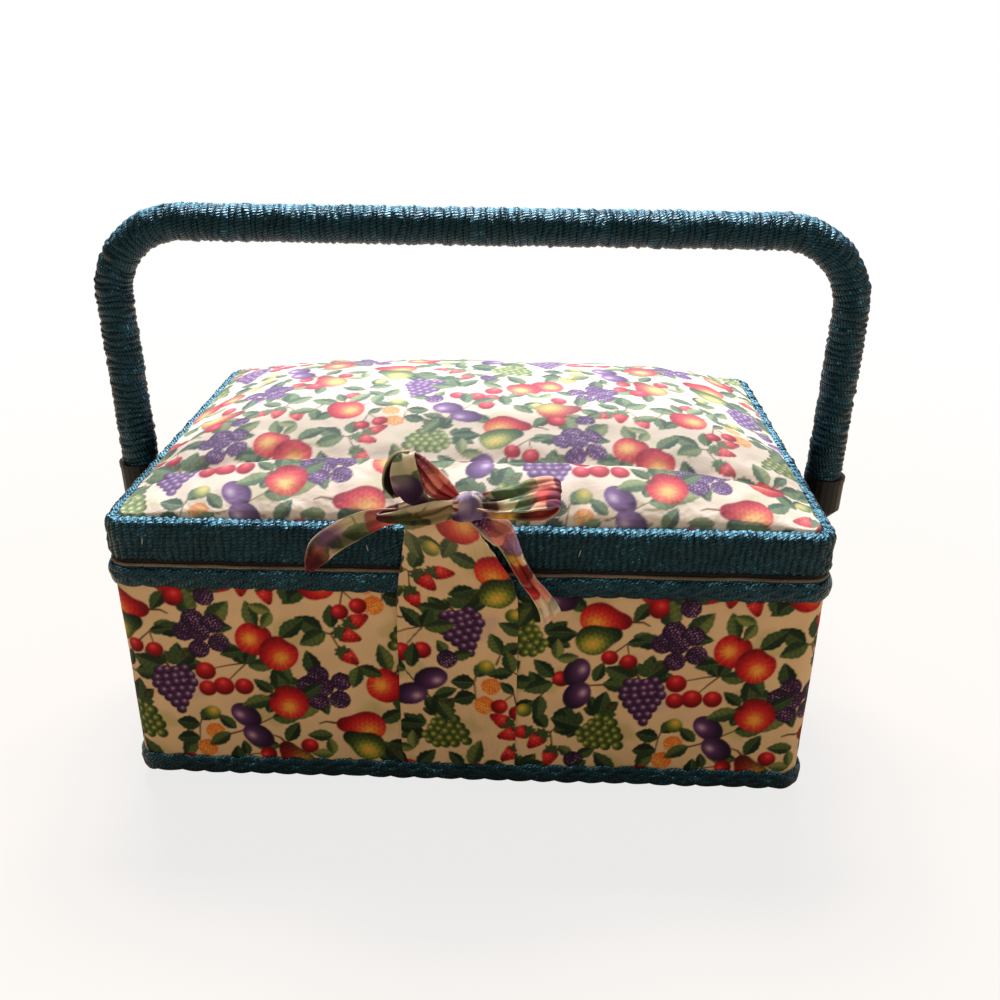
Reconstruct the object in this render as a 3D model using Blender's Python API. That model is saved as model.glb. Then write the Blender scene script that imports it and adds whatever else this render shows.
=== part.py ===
"""Cloth-covered sewing basket: padded hinged lid, wound swing handle, tied strap and sliding tray.

Metres, +Z up, +X to the basket's right, and the front with the strap faces -Y. The origin is the
centre of the basket's footprint on the surface that it stands on.
"""

import math

import bmesh
import bpy
from mathutils import Matrix, Vector

# Clearances
SEAT_GAP = 0.0003
RUNNING_GAP = 0.0005
CUT_OVERRUN = 0.002

# Lid and body, outside
LID_WIDTH = 0.290
LID_DEPTH = 0.200
LID_OVERHANG = 0.0010
LID_CORNER_RADIUS = 0.010
BODY_CORNER_RADIUS = 0.009
BODY_HEIGHT = 0.1107
BAND_HEIGHT = 0.0173

# Body walls, from the printed cloth inwards
COVER_THICKNESS = 0.0010
BOARD_THICKNESS = 0.0030
LINING_THICKNESS = 0.0010
BASE_PANEL_THICKNESS = 0.0020
BASE_PANEL_INSET = 0.0048
RIM_EDGE_HEIGHT = 0.0025
RIM_EDGE_OUT = 0.0006

# Braid below the lid
BRAID_HEIGHT = 0.0080
BRAID_OUT = 0.0023
BRAID_ROUND = 0.0013

# Corded trim round the bottom edge
TRIM_HEIGHT = 0.0090
TRIM_OUT = 0.0013
TRIM_SKIN = 0.0007
TRIM_TURN = 0.0046

# Feet and their screws
FOOT_HEIGHT = 0.0069
FOOT_RADIUS = 0.0095
FOOT_TOP_RADIUS = 0.0080
FOOT_EDGE = 0.0018
FOOT_INSET_X = 0.0180
FOOT_INSET_Y = 0.0160
SCREW_RADIUS = 0.0015
SCREW_HEAD_RADIUS = 0.0032
SCREW_HEAD_HEIGHT = 0.0018
SCREW_RECESS_DEPTH = 0.0030

# Lid
FRAME_THICKNESS = 0.0025
BAND_SKIN = 0.0015
BAND_LIP_ROUND = 0.0009
LID_BOARD_THICKNESS = 0.0030
LID_BOARD_DROP = 0.0073
LID_LINING_THICKNESS = 0.0012
POCKET_WIDTH = 0.190
POCKET_DEPTH = 0.060
POCKET_THICKNESS = 0.0012
POCKET_HEM = 0.0060
POCKET_HEM_THICKNESS = 0.0022
POCKET_OFFSET = 0.050
PIN_CUSHION_WIDTH = 0.060
PIN_CUSHION_DEPTH = 0.040
PIN_CUSHION_HEIGHT = 0.0110
PIN_CUSHION_OFFSET = 0.032

# Padded top of the lid
CUSHION_CROWN = 0.0220
CUSHION_EDGE_RISE = 0.0013
CUSHION_PUFF = 0.0015
CREASE_DEPTH = 0.0032
CREASE_WIDTH = 0.0052
CREASE_INSET = 0.0330
CREASE_END_DROP = 0.0100

# Handle
HANDLE_RISE = 0.1415
HANDLE_STAND_OFF = 0.0223
HANDLE_SPLAY = 0.0022
HANDLE_BEND_RADIUS = 0.034
WRAP_RADIUS = 0.00825
WRAP_GROOVE = 0.0006
CORE_RADIUS = 0.0058
PIVOT_DROP = 0.0257
SOCKET_RADIUS = 0.0092
SOCKET_LIP = 0.0003
SOCKET_LIP_HEIGHT = 0.0022
SOCKET_RISE = 0.0275
SOCKET_ROUND_LENGTH = 0.0165
SOCKET_NECK_LENGTH = 0.0060
SOCKET_BORE_DEPTH = 0.0140
TAB_THICKNESS = 0.0066
TAB_RADIUS = 0.0088
PIN_RADIUS = 0.0023
PIN_CLEARANCE = 0.0003
PIN_HEAD_RADIUS = 0.0052
PIN_HEAD_HEIGHT = 0.0020
PIN_END_RADIUS = 0.0038
PIN_END_HEIGHT = 0.0013
WASHER_RADIUS = 0.0075
WASHER_THICKNESS = 0.0010
BRACKET_PLATE_WIDTH = 0.026
BRACKET_PLATE_HEIGHT = 0.026
BRACKET_PLATE_THICKNESS = 0.0020
BRACKET_CORNER = 0.006
BOSS_RADIUS = 0.0098
BOSS_TIP_RADIUS = 0.0084

# Lid hinges
HINGE_INSET = 0.060
HINGE_LENGTH = 0.030
HINGE_BARREL_RADIUS = 0.0020
HINGE_PIN_RADIUS = 0.0009
HINGE_PIN_HEAD = 0.0006
HINGE_PIN_HEAD_RADIUS = 0.0015
HINGE_PIN_CLEARANCE = 0.0001
LEAF_THICKNESS = 0.0010
LEAF_HEIGHT = 0.0105
LEAF_STANDOFF = 0.0006

# Strap and its bow
STRAP_WIDTH = 0.049
STRAP_OFFSET = -0.0035
STRAP_THICKNESS = 0.0012
STRAP_FOLD_DROP = 0.0307
STRAP_TOP_WIDTH = 0.0230
STRAP_TOP_OFFSET = -0.0095
STRAP_SAG = 0.0009
PATCH_WIDTH = 0.018
PATCH_HEIGHT = 0.010
PATCH_THICKNESS = 0.0008
KNOT_WIDTH = 0.0110
KNOT_HEIGHT = 0.0106
KNOT_DEPTH = 0.0085
KNOT_RISE = 0.0137
KNOT_OVER_STRAP = 0.0010
KNOT_OFFSET = 0.0010
BOW_CLOTH = 0.0012
RIGHT_LOOP_LENGTH = 0.0300
RIGHT_LOOP_WIDTH = 0.0145
RIGHT_LOOP_DEPTH = 0.0076
LEFT_LOOP_LENGTH = 0.0285
LEFT_LOOP_WIDTH = 0.0090
LEFT_LOOP_DEPTH = 0.0052
TOP_LOOP_LENGTH = 0.0255
TOP_LOOP_WIDTH = 0.0165
TOP_LOOP_DEPTH = 0.0085
LOOP_ROOT_WIDTH = 0.0070
LOOP_ROOT_DEPTH = 0.0030
LOOP_FOLD = 0.0009
TAIL_FOLD = 0.0008
BOW_TAIL_LENGTH = 0.049

# Tray and its ledges
LEDGE_WIDTH = 0.0095
LEDGE_HEIGHT = 0.0040
LEDGE_DROP = 0.0367
LEDGE_END_GAP = 0.004
TRAY_TRAVEL = 0.080
TRAY_SIDE_GAP = 0.0039
TRAY_HEIGHT = 0.027
TRAY_WALL = 0.0018
TRAY_FLOOR = 0.0018
TRAY_DRAFT = 0.0015
TRAY_RIM_OUT = 0.0010
TRAY_RIM_HEIGHT = 0.0020
TRAY_CORNER = 0.006
TRAY_LONG_POCKET_DEPTH = 0.038

# Counts
CORNER_STEPS = 5
ROUND_SIDES = 20
SMALL_ROUND_SIDES = 12
WRAP_RIBS = 120
WRAP_SIDES = 10
BEND_STEPS = 8
LOOP_STEPS = 14
TRAY_POCKETS = 3
PIN_CUSHION_STEPS = 6

# Heights worked out from the sizes above
BASE_PANEL_BOTTOM = FOOT_HEIGHT + SEAT_GAP
BASE_PANEL_TOP = BASE_PANEL_BOTTOM + BASE_PANEL_THICKNESS
BOARD_BOTTOM = BASE_PANEL_TOP + SEAT_GAP
BOARD_FLOOR = BOARD_BOTTOM + BOARD_THICKNESS
LINING_BOTTOM = BOARD_FLOOR + SEAT_GAP
LINING_FLOOR = LINING_BOTTOM + LINING_THICKNESS
RIM_EDGE_BOTTOM = BODY_HEIGHT - RIM_EDGE_HEIGHT
WALL_TOP = RIM_EDGE_BOTTOM - SEAT_GAP
BRAID_BOTTOM = WALL_TOP - BRAID_HEIGHT
TRIM_UNDERSIDE = BASE_PANEL_BOTTOM - SEAT_GAP - TRIM_SKIN
TRIM_TOP = TRIM_UNDERSIDE + TRIM_HEIGHT
COVER_BOTTOM = TRIM_UNDERSIDE + TRIM_SKIN + TRIM_TURN - SEAT_GAP
TRIM_UNDERLAP = min(FOOT_INSET_X, FOOT_INSET_Y) - FOOT_RADIUS - SEAT_GAP
LID_BOTTOM = BODY_HEIGHT + SEAT_GAP
LID_TOP = LID_BOTTOM + BAND_HEIGHT
FRAME_TOP = LID_TOP - BAND_SKIN - SEAT_GAP
LID_BOARD_TOP = LID_TOP - LID_BOARD_DROP + LID_BOARD_THICKNESS
LID_BOARD_BOTTOM = LID_BOARD_TOP - LID_BOARD_THICKNESS
LID_LINING_TOP = LID_BOARD_BOTTOM - SEAT_GAP
LID_LINING_BOTTOM = LID_LINING_TOP - LID_LINING_THICKNESS
HINGE_AXIS_HEIGHT = BODY_HEIGHT + SEAT_GAP / 2
PIVOT_HEIGHT = BODY_HEIGHT - PIVOT_DROP
SOCKET_TOP = PIVOT_HEIGHT + SOCKET_RISE
HANDLE_TOP = PIVOT_HEIGHT + HANDLE_RISE
STRAP_FOLD_HEIGHT = BODY_HEIGHT - STRAP_FOLD_DROP
KNOT_LEVEL = LID_TOP + KNOT_RISE
STRAP_TOP = KNOT_LEVEL - KNOT_OVER_STRAP
LEDGE_LEVEL = BODY_HEIGHT - LEDGE_DROP

# Depths measured outwards from the cover's face
BOARD_INSET = COVER_THICKNESS + SEAT_GAP
BOARD_INNER_INSET = BOARD_INSET + BOARD_THICKNESS
LINING_INSET = BOARD_INNER_INSET + SEAT_GAP
LINING_INNER_INSET = LINING_INSET + LINING_THICKNESS

# The basket sits so that its front reach and back reach are the same from the origin
HINGE_REACH = LEAF_STANDOFF + 2 * HINGE_BARREL_RADIUS
PATCH_STACK = 2 * PATCH_THICKNESS + 3 * SEAT_GAP
KNOT_REACH = PATCH_STACK + STRAP_THICKNESS + SEAT_GAP + KNOT_DEPTH
CENTRE_Y = (KNOT_REACH - HINGE_REACH) / 2

HANDLE_HALF_SPAN = LID_WIDTH / 2 + HANDLE_STAND_OFF
BODY_WIDTH = LID_WIDTH - 2 * LID_OVERHANG
BODY_DEPTH = LID_DEPTH - 2 * LID_OVERHANG
BODY_FRONT = CENTRE_Y - BODY_DEPTH / 2
BODY_BACK = CENTRE_Y + BODY_DEPTH / 2
LID_FRONT = CENTRE_Y - LID_DEPTH / 2
LID_BACK = CENTRE_Y + LID_DEPTH / 2

HINGE_AXIS_Y = LID_BACK + LEAF_STANDOFF + HINGE_BARREL_RADIUS
STRAP_FACE = BODY_FRONT - SEAT_GAP - STRAP_THICKNESS


def linear(red, green, blue):
    """Colour of 0 to 255 as Blender's linear values."""
    values = []
    for channel in (red, green, blue):
        share = channel / 255
        values.append(share / 12.92 if share <= 0.04045 else ((share + 0.055) / 1.055) ** 2.4)
    return (*values, 1.0)


def make_material(name, colour, roughness, metallic=0.0):
    material = bpy.data.materials.new(name)
    material.use_nodes = True
    shader = material.node_tree.nodes["Principled BSDF"]
    shader.inputs["Base Color"].default_value = linear(*colour)
    shader.inputs["Roughness"].default_value = roughness
    shader.inputs["Metallic"].default_value = metallic
    material.diffuse_color = linear(*colour)
    return material


def make_pivot(name, location):
    """Empty on a joint's axis, to which the pieces that move about it are parented."""
    pivot = bpy.data.objects.new(name, None)
    pivot.location = location
    bpy.context.scene.collection.objects.link(pivot)
    return pivot


def add_piece(name, bm, material, pivot=None, smooth_angle=None):
    """Object from a bmesh in the basket's own frame, with its material and its pivot."""
    bmesh.ops.recalc_face_normals(bm, faces=bm.faces)
    mesh = bpy.data.meshes.new(name)
    bm.to_mesh(mesh)
    bm.free()
    mesh.materials.append(material)
    if smooth_angle is not None:
        mesh.shade_smooth()
        mesh.set_sharp_from_angle(angle=smooth_angle)
    piece = bpy.data.objects.new(name, mesh)
    bpy.context.scene.collection.objects.link(piece)
    if pivot is not None:
        piece.parent = pivot
        piece.matrix_parent_inverse = Matrix.Translation(-pivot.location)
    return piece


def cut(piece, name, bm):
    """Takes a cutter's shape out of a piece."""
    bmesh.ops.recalc_face_normals(bm, faces=bm.faces)
    mesh = bpy.data.meshes.new(name)
    bm.to_mesh(mesh)
    bm.free()
    cutter = bpy.data.objects.new(name, mesh)
    cutter.hide_render = True
    cutter.display_type = "WIRE"
    bpy.context.scene.collection.objects.link(cutter)
    modifier = piece.modifiers.new(name, "BOOLEAN")
    modifier.operation = "DIFFERENCE"
    modifier.solver = "EXACT"
    modifier.object = cutter


def stack(loops, closed=False):
    """Skin through loops of points of one count. Open stacks are capped, closed ones join up."""
    bm = bmesh.new()
    rings = [[bm.verts.new(point) for point in loop] for loop in loops]
    pairs = list(zip(rings[:-1], rings[1:]))
    if closed:
        pairs.append((rings[-1], rings[0]))
    for lower, upper in pairs:
        for index in range(len(lower)):
            following = (index + 1) % len(lower)
            bm.faces.new((lower[index], lower[following], upper[following], upper[index]))
    if not closed:
        bm.faces.new(reversed(rings[0]))
        bm.faces.new(rings[-1])
    return bm


def rounded_rectangle(width, depth, radius, height, centre_x=0.0, centre_y=None, steps=CORNER_STEPS):
    """Loop of points round a rectangle with round corners, anticlockwise seen from above."""
    if centre_y is None:
        centre_y = CENTRE_Y
    points = []
    for quarter in range(4):
        side_x = 1 if quarter in (0, 3) else -1
        side_y = 1 if quarter < 2 else -1
        for step in range(steps + 1):
            angle = math.pi / 2 * (quarter + step / steps)
            x = centre_x + side_x * (width / 2 - radius) + radius * math.cos(angle)
            y = centre_y + side_y * (depth / 2 - radius) + radius * math.sin(angle)
            points.append((x, y, height))
    return points


def body_loop(inset, height):
    """Outline of the body at a depth inwards from the face of its cloth."""
    radius = max(BODY_CORNER_RADIUS - inset, SEAT_GAP)
    return rounded_rectangle(BODY_WIDTH - 2 * inset, BODY_DEPTH - 2 * inset, radius, height)


def lid_loop(inset, height):
    """Outline of the lid at a depth inwards from the face of its band."""
    radius = max(LID_CORNER_RADIUS - inset, SEAT_GAP)
    return rounded_rectangle(LID_WIDTH - 2 * inset, LID_DEPTH - 2 * inset, radius, height)


def box(low, high):
    bm = bmesh.new()
    corners = [(x, y, z) for z in (low[2], high[2]) for x, y in
               ((low[0], low[1]), (high[0], low[1]), (high[0], high[1]), (low[0], high[1]))]
    verts = [bm.verts.new(corner) for corner in corners]
    for face in ((0, 3, 2, 1), (4, 5, 6, 7), (0, 1, 5, 4), (1, 2, 6, 5), (2, 3, 7, 6), (3, 0, 4, 7)):
        bm.faces.new([verts[index] for index in face])
    return bm


def ring_about_x(x, radius, centre_y, centre_z, sides, turn_offset=0.0):
    """Circle of points round an axis along X."""
    turns = [2 * math.pi * side / sides + turn_offset for side in range(sides)]
    return [(x, centre_y + radius * math.cos(turn), centre_z + radius * math.sin(turn)) for turn in turns]


def ring_about_z(z, radius, centre_x, centre_y, sides):
    """Circle of points round an upright axis."""
    turns = [2 * math.pi * side / sides for side in range(sides)]
    return [(centre_x + radius * math.cos(turn), centre_y + radius * math.sin(turn), z) for turn in turns]


def rod_along_x(x_low, x_high, radius, centre_y, centre_z, sides):
    return stack([ring_about_x(x, radius, centre_y, centre_z, sides) for x in (x_low, x_high)])


def turned_about_x(profile, centre_y, centre_z, sides):
    """Solid turned about an axis along X from its (x, radius) profile."""
    return stack([ring_about_x(x, radius, centre_y, centre_z, sides) for x, radius in profile])


def ribbon(stations, thickness):
    """Closed strip of cloth through stations of (centre, half-width vector, fold).

    The fold lifts the middle of the strip off its edges, so that the strip is creased lengthwise.
    """
    share_across = (-1.0, -0.5, 0.0, 0.5, 1.0)
    fold_shares = (0.0, -0.4, 1.0, -0.4, 0.0)
    centres = [Vector(station[0]) for station in stations]
    loops = []
    for index, (_, half_width, fold) in enumerate(stations):
        before = centres[max(index - 1, 0)]
        after = centres[min(index + 1, len(centres) - 1)]
        across = Vector(half_width)
        normal = (after - before).cross(across).normalized()
        middle = [centres[index] + across * share + normal * fold * lift
                  for share, lift in zip(share_across, fold_shares)]
        front = [point + normal * thickness / 2 for point in middle]
        back = [point - normal * thickness / 2 for point in reversed(middle)]
        loops.append([tuple(point) for point in front + back])
    return stack(loops)


def clear_scene():
    for item in list(bpy.data.objects):
        bpy.data.objects.remove(item, do_unlink=True)


def build_materials():
    return {
        "printed_cloth": make_material("printed_cloth", (216, 196, 176), 0.62),
        "teal_cord": make_material("teal_cord", (27, 50, 56), 0.42),
        "board": make_material("board", (170, 148, 118), 0.85),
        "lining_cloth": make_material("lining_cloth", (226, 214, 190), 0.70),
        "tan_edging": make_material("tan_edging", (168, 146, 118), 0.75),
        "black_plastic": make_material("black_plastic", (24, 26, 28), 0.38),
        "tray_plastic": make_material("tray_plastic", (222, 220, 208), 0.32),
        "steel": make_material("steel", (176, 178, 176), 0.35, 1.0),
        "brass": make_material("brass", (196, 162, 92), 0.34, 1.0),
        "core_rod": make_material("core_rod", (150, 118, 80), 0.60),
        "hook_tape": make_material("hook_tape", (228, 226, 218), 0.90),
    }


def build_body_walls(materials):
    """Board shell, printed cover, lining and the panel under the floor."""
    shell = add_piece("body_shell", stack([
        body_loop(BOARD_INSET, BOARD_BOTTOM),
        body_loop(BOARD_INSET, WALL_TOP),
        body_loop(BOARD_INNER_INSET, WALL_TOP),
        body_loop(BOARD_INNER_INSET, BOARD_FLOOR),
    ]), materials["board"])
    cover = add_piece("body_cover", stack([
        body_loop(0.0, COVER_BOTTOM),
        body_loop(0.0, WALL_TOP),
        body_loop(COVER_THICKNESS, WALL_TOP),
        body_loop(COVER_THICKNESS, COVER_BOTTOM),
    ], closed=True), materials["printed_cloth"], smooth_angle=math.radians(40))
    lining = add_piece("body_lining", stack([
        body_loop(LINING_INSET, LINING_BOTTOM),
        body_loop(LINING_INSET, WALL_TOP),
        body_loop(LINING_INNER_INSET, WALL_TOP),
        body_loop(LINING_INNER_INSET, LINING_FLOOR),
    ]), materials["lining_cloth"])
    add_piece("base_panel", stack([
        body_loop(BASE_PANEL_INSET, BASE_PANEL_BOTTOM),
        body_loop(BASE_PANEL_INSET, BASE_PANEL_TOP),
    ]), materials["lining_cloth"])
    add_piece("rim_edging", stack([
        body_loop(-RIM_EDGE_OUT, RIM_EDGE_BOTTOM),
        body_loop(-RIM_EDGE_OUT, BODY_HEIGHT),
        body_loop(LINING_INNER_INSET, BODY_HEIGHT),
        body_loop(LINING_INNER_INSET, RIM_EDGE_BOTTOM),
    ], closed=True), materials["tan_edging"])
    return [shell, cover, lining]


def build_braid_and_trim(materials):
    """Braid below the lid, and the corded trim that turns under the bottom edge."""
    inner = -SEAT_GAP
    outer = -BRAID_OUT
    round_off = BRAID_ROUND
    add_piece("upper_braid", stack([
        body_loop(inner, BRAID_BOTTOM),
        body_loop(outer + round_off / 2, BRAID_BOTTOM),
        body_loop(outer, BRAID_BOTTOM + round_off),
        body_loop(outer, WALL_TOP - round_off),
        body_loop(outer + round_off / 2, WALL_TOP),
        body_loop(inner, WALL_TOP),
    ], closed=True), materials["teal_cord"], smooth_angle=math.radians(60))

    outside = [(-TRIM_OUT, TRIM_UNDERSIDE + TRIM_TURN)]
    inside = [(-SEAT_GAP, TRIM_UNDERSIDE + TRIM_SKIN + TRIM_TURN)]
    for step in range(1, CORNER_STEPS + 1):
        angle = math.pi / 2 * step / CORNER_STEPS
        outside.append((-TRIM_OUT + TRIM_TURN * (1 - math.cos(angle)),
                        TRIM_UNDERSIDE + TRIM_TURN * (1 - math.sin(angle))))
        inside.append((-SEAT_GAP + TRIM_TURN * (1 - math.cos(angle)),
                       TRIM_UNDERSIDE + TRIM_SKIN + TRIM_TURN * (1 - math.sin(angle))))
    profile = [(-SEAT_GAP - TRIM_SKIN / 2, TRIM_TOP), (-TRIM_OUT, TRIM_TOP - TRIM_SKIN)]
    profile += outside
    profile += [(TRIM_UNDERLAP, TRIM_UNDERSIDE), (TRIM_UNDERLAP, TRIM_UNDERSIDE + TRIM_SKIN)]
    profile += list(reversed(inside))
    profile += [(-SEAT_GAP, TRIM_TOP)]
    add_piece("lower_trim", stack([body_loop(inset, height) for inset, height in profile], closed=True),
              materials["teal_cord"], smooth_angle=math.radians(60))


def foot_places():
    x = BODY_WIDTH / 2 - FOOT_INSET_X
    y = BODY_DEPTH / 2 - FOOT_INSET_Y
    return {
        "front_left": (-x, CENTRE_Y - y),
        "front_right": (x, CENTRE_Y - y),
        "back_left": (-x, CENTRE_Y + y),
        "back_right": (x, CENTRE_Y + y),
    }


def build_feet(materials):
    """Four turned feet under the base panel, each held by a screw from below."""
    bore_radius = SCREW_RADIUS + SEAT_GAP
    recess_radius = SCREW_HEAD_RADIUS + SEAT_GAP
    head_low = SCREW_RECESS_DEPTH - SCREW_HEAD_HEIGHT - SEAT_GAP
    head_high = head_low + SCREW_HEAD_HEIGHT
    head_face_share = 0.8
    tip = FOOT_HEIGHT + SEAT_GAP - RUNNING_GAP
    for place, (x, y) in foot_places().items():
        profile = [
            (0.0, recess_radius),
            (0.0, FOOT_RADIUS - FOOT_EDGE),
            (FOOT_EDGE / 3, FOOT_RADIUS - FOOT_EDGE / 4),
            (FOOT_EDGE, FOOT_RADIUS),
            (FOOT_HEIGHT, FOOT_TOP_RADIUS),
            (FOOT_HEIGHT, bore_radius),
            (SCREW_RECESS_DEPTH, bore_radius),
            (SCREW_RECESS_DEPTH, recess_radius),
        ]
        rings = [ring_about_z(z, radius, x, y, ROUND_SIDES) for z, radius in profile]
        add_piece("foot_" + place, stack(rings, closed=True), materials["black_plastic"],
                  smooth_angle=math.radians(40))
        screw = [
            (head_low, SCREW_HEAD_RADIUS * head_face_share),
            (head_low + SCREW_HEAD_HEIGHT / 3, SCREW_HEAD_RADIUS),
            (head_high, SCREW_HEAD_RADIUS),
            (head_high, SCREW_RADIUS),
            (tip, SCREW_RADIUS),
        ]
        add_piece("foot_screw_" + place,
                  stack([ring_about_z(z, radius, x, y, SMALL_ROUND_SIDES) for z, radius in screw]),
                  materials["steel"], smooth_angle=math.radians(40))


def handle_lean(height):
    """Half span of the handle's middle line at a height: the legs spread a little towards the top."""
    rise_share = (height - PIVOT_HEIGHT) / (HANDLE_TOP - PIVOT_HEIGHT)
    return HANDLE_HALF_SPAN - HANDLE_SPLAY * (1 - rise_share)


def build_handle_mounts(materials, walls):
    """Ear, rivet and backing washer on each side wall, with a hole for the rivet through the wall."""
    face = BODY_WIDTH / 2
    hole_radius = PIN_RADIUS + PIN_CLEARANCE
    inner_face = face - LINING_INNER_INSET
    washer_inner = inner_face - SEAT_GAP - WASHER_THICKNESS
    tab_inner = handle_lean(SOCKET_TOP) - SOCKET_RADIUS + SEAT_GAP
    tab_outer = tab_inner + TAB_THICKNESS
    plate_low = face + SEAT_GAP
    plate_high = plate_low + BRACKET_PLATE_THICKNESS
    boss_tip = tab_inner - SEAT_GAP
    outline = rounded_rectangle(BRACKET_PLATE_WIDTH, BRACKET_PLATE_HEIGHT, BRACKET_CORNER, 0.0, 0.0, 0.0)
    turn_offset = math.pi / len(outline)
    dome_radius_shares = (0.45, 0.85)
    dome_height_share = 0.7
    for side, name in ((-1, "left"), (1, "right")):
        loops = []
        for x in (plate_low, plate_high):
            loops.append([(side * x, CENTRE_Y + u, PIVOT_HEIGHT + v) for u, v, _ in outline])
        for x, radius in ((plate_high, BOSS_RADIUS), (boss_tip, BOSS_TIP_RADIUS),
                          (boss_tip, hole_radius), (plate_low, hole_radius)):
            loops.append(ring_about_x(side * x, radius, CENTRE_Y, PIVOT_HEIGHT, len(outline), turn_offset))
        add_piece("handle_ear_" + name, stack(loops, closed=True), materials["black_plastic"],
                  smooth_angle=math.radians(35))

        head = tab_outer + SEAT_GAP
        end = washer_inner - SEAT_GAP
        rivet = [
            (head + PIN_HEAD_HEIGHT, PIN_HEAD_RADIUS * dome_radius_shares[0]),
            (head + PIN_HEAD_HEIGHT * dome_height_share, PIN_HEAD_RADIUS * dome_radius_shares[1]),
            (head, PIN_HEAD_RADIUS),
            (head, PIN_RADIUS),
            (end, PIN_RADIUS),
            (end, PIN_END_RADIUS),
            (end - PIN_END_HEIGHT / 2, PIN_END_RADIUS),
            (end - PIN_END_HEIGHT, PIN_END_RADIUS / 2),
        ]
        add_piece("handle_rivet_" + name,
                  turned_about_x([(side * x, radius) for x, radius in rivet], CENTRE_Y, PIVOT_HEIGHT,
                                 ROUND_SIDES),
                  materials["steel"], smooth_angle=math.radians(35))
        washer = [
            (inner_face - SEAT_GAP, hole_radius),
            (inner_face - SEAT_GAP, WASHER_RADIUS),
            (washer_inner, WASHER_RADIUS),
            (washer_inner, hole_radius),
        ]
        rings = []
        for x, radius in washer:
            rings.append(ring_about_x(side * x, radius, CENTRE_Y, PIVOT_HEIGHT, ROUND_SIDES))
        add_piece("rivet_washer_" + name, stack(rings, closed=True), materials["steel"],
                  smooth_angle=math.radians(35))
        for wall in walls:
            cut(wall, "rivet_hole_" + wall.name + "_" + name,
                rod_along_x(side * (inner_face - CUT_OVERRUN), side * (face + CUT_OVERRUN), hole_radius,
                            CENTRE_Y, PIVOT_HEIGHT, ROUND_SIDES))


def handle_path(low, steps=BEND_STEPS):
    """Stations (x, z, direction) along the handle's middle line, from left foot to right foot."""
    radius = HANDLE_BEND_RADIUS
    lean = math.atan2(HANDLE_SPLAY, HANDLE_TOP - PIVOT_HEIGHT)
    turn = math.pi / 2 + lean
    centre_x = HANDLE_HALF_SPAN - radius * (1 + math.sin(lean)) / math.cos(lean)
    centre_z = HANDLE_TOP - radius
    right = []
    for step in range(steps + 1):
        angle = turn * step / steps
        right.append((centre_x + radius * math.sin(angle), centre_z + radius * math.cos(angle), angle))
    right.append((handle_lean(low), low, turn))
    left = [(-x, z, -angle) for x, z, angle in reversed(right)]
    return left + right


def even_stations(path, count):
    """Stations at an even pitch along a path of (x, z, direction)."""
    lengths = [0.0]
    for (x0, z0, _), (x1, z1, _) in zip(path[:-1], path[1:]):
        lengths.append(lengths[-1] + math.hypot(x1 - x0, z1 - z0))
    stations = []
    segment = 0
    for index in range(count):
        target = lengths[-1] * index / (count - 1)
        while segment < len(path) - 2 and lengths[segment + 1] < target:
            segment += 1
        share = (target - lengths[segment]) / (lengths[segment + 1] - lengths[segment])
        stations.append(tuple(a + (b - a) * share for a, b in zip(path[segment], path[segment + 1])))
    return stations


def ring_on_path(station, radius, sides):
    """Circle of points square to the handle's middle line."""
    x, z, angle = station
    points = []
    for side in range(sides):
        turn = 2 * math.pi * (side + 0.5) / sides
        out = radius * math.cos(turn)
        y = CENTRE_Y + radius * math.sin(turn)
        points.append((x + out * math.sin(angle), y, z + out * math.cos(angle)))
    return points


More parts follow.
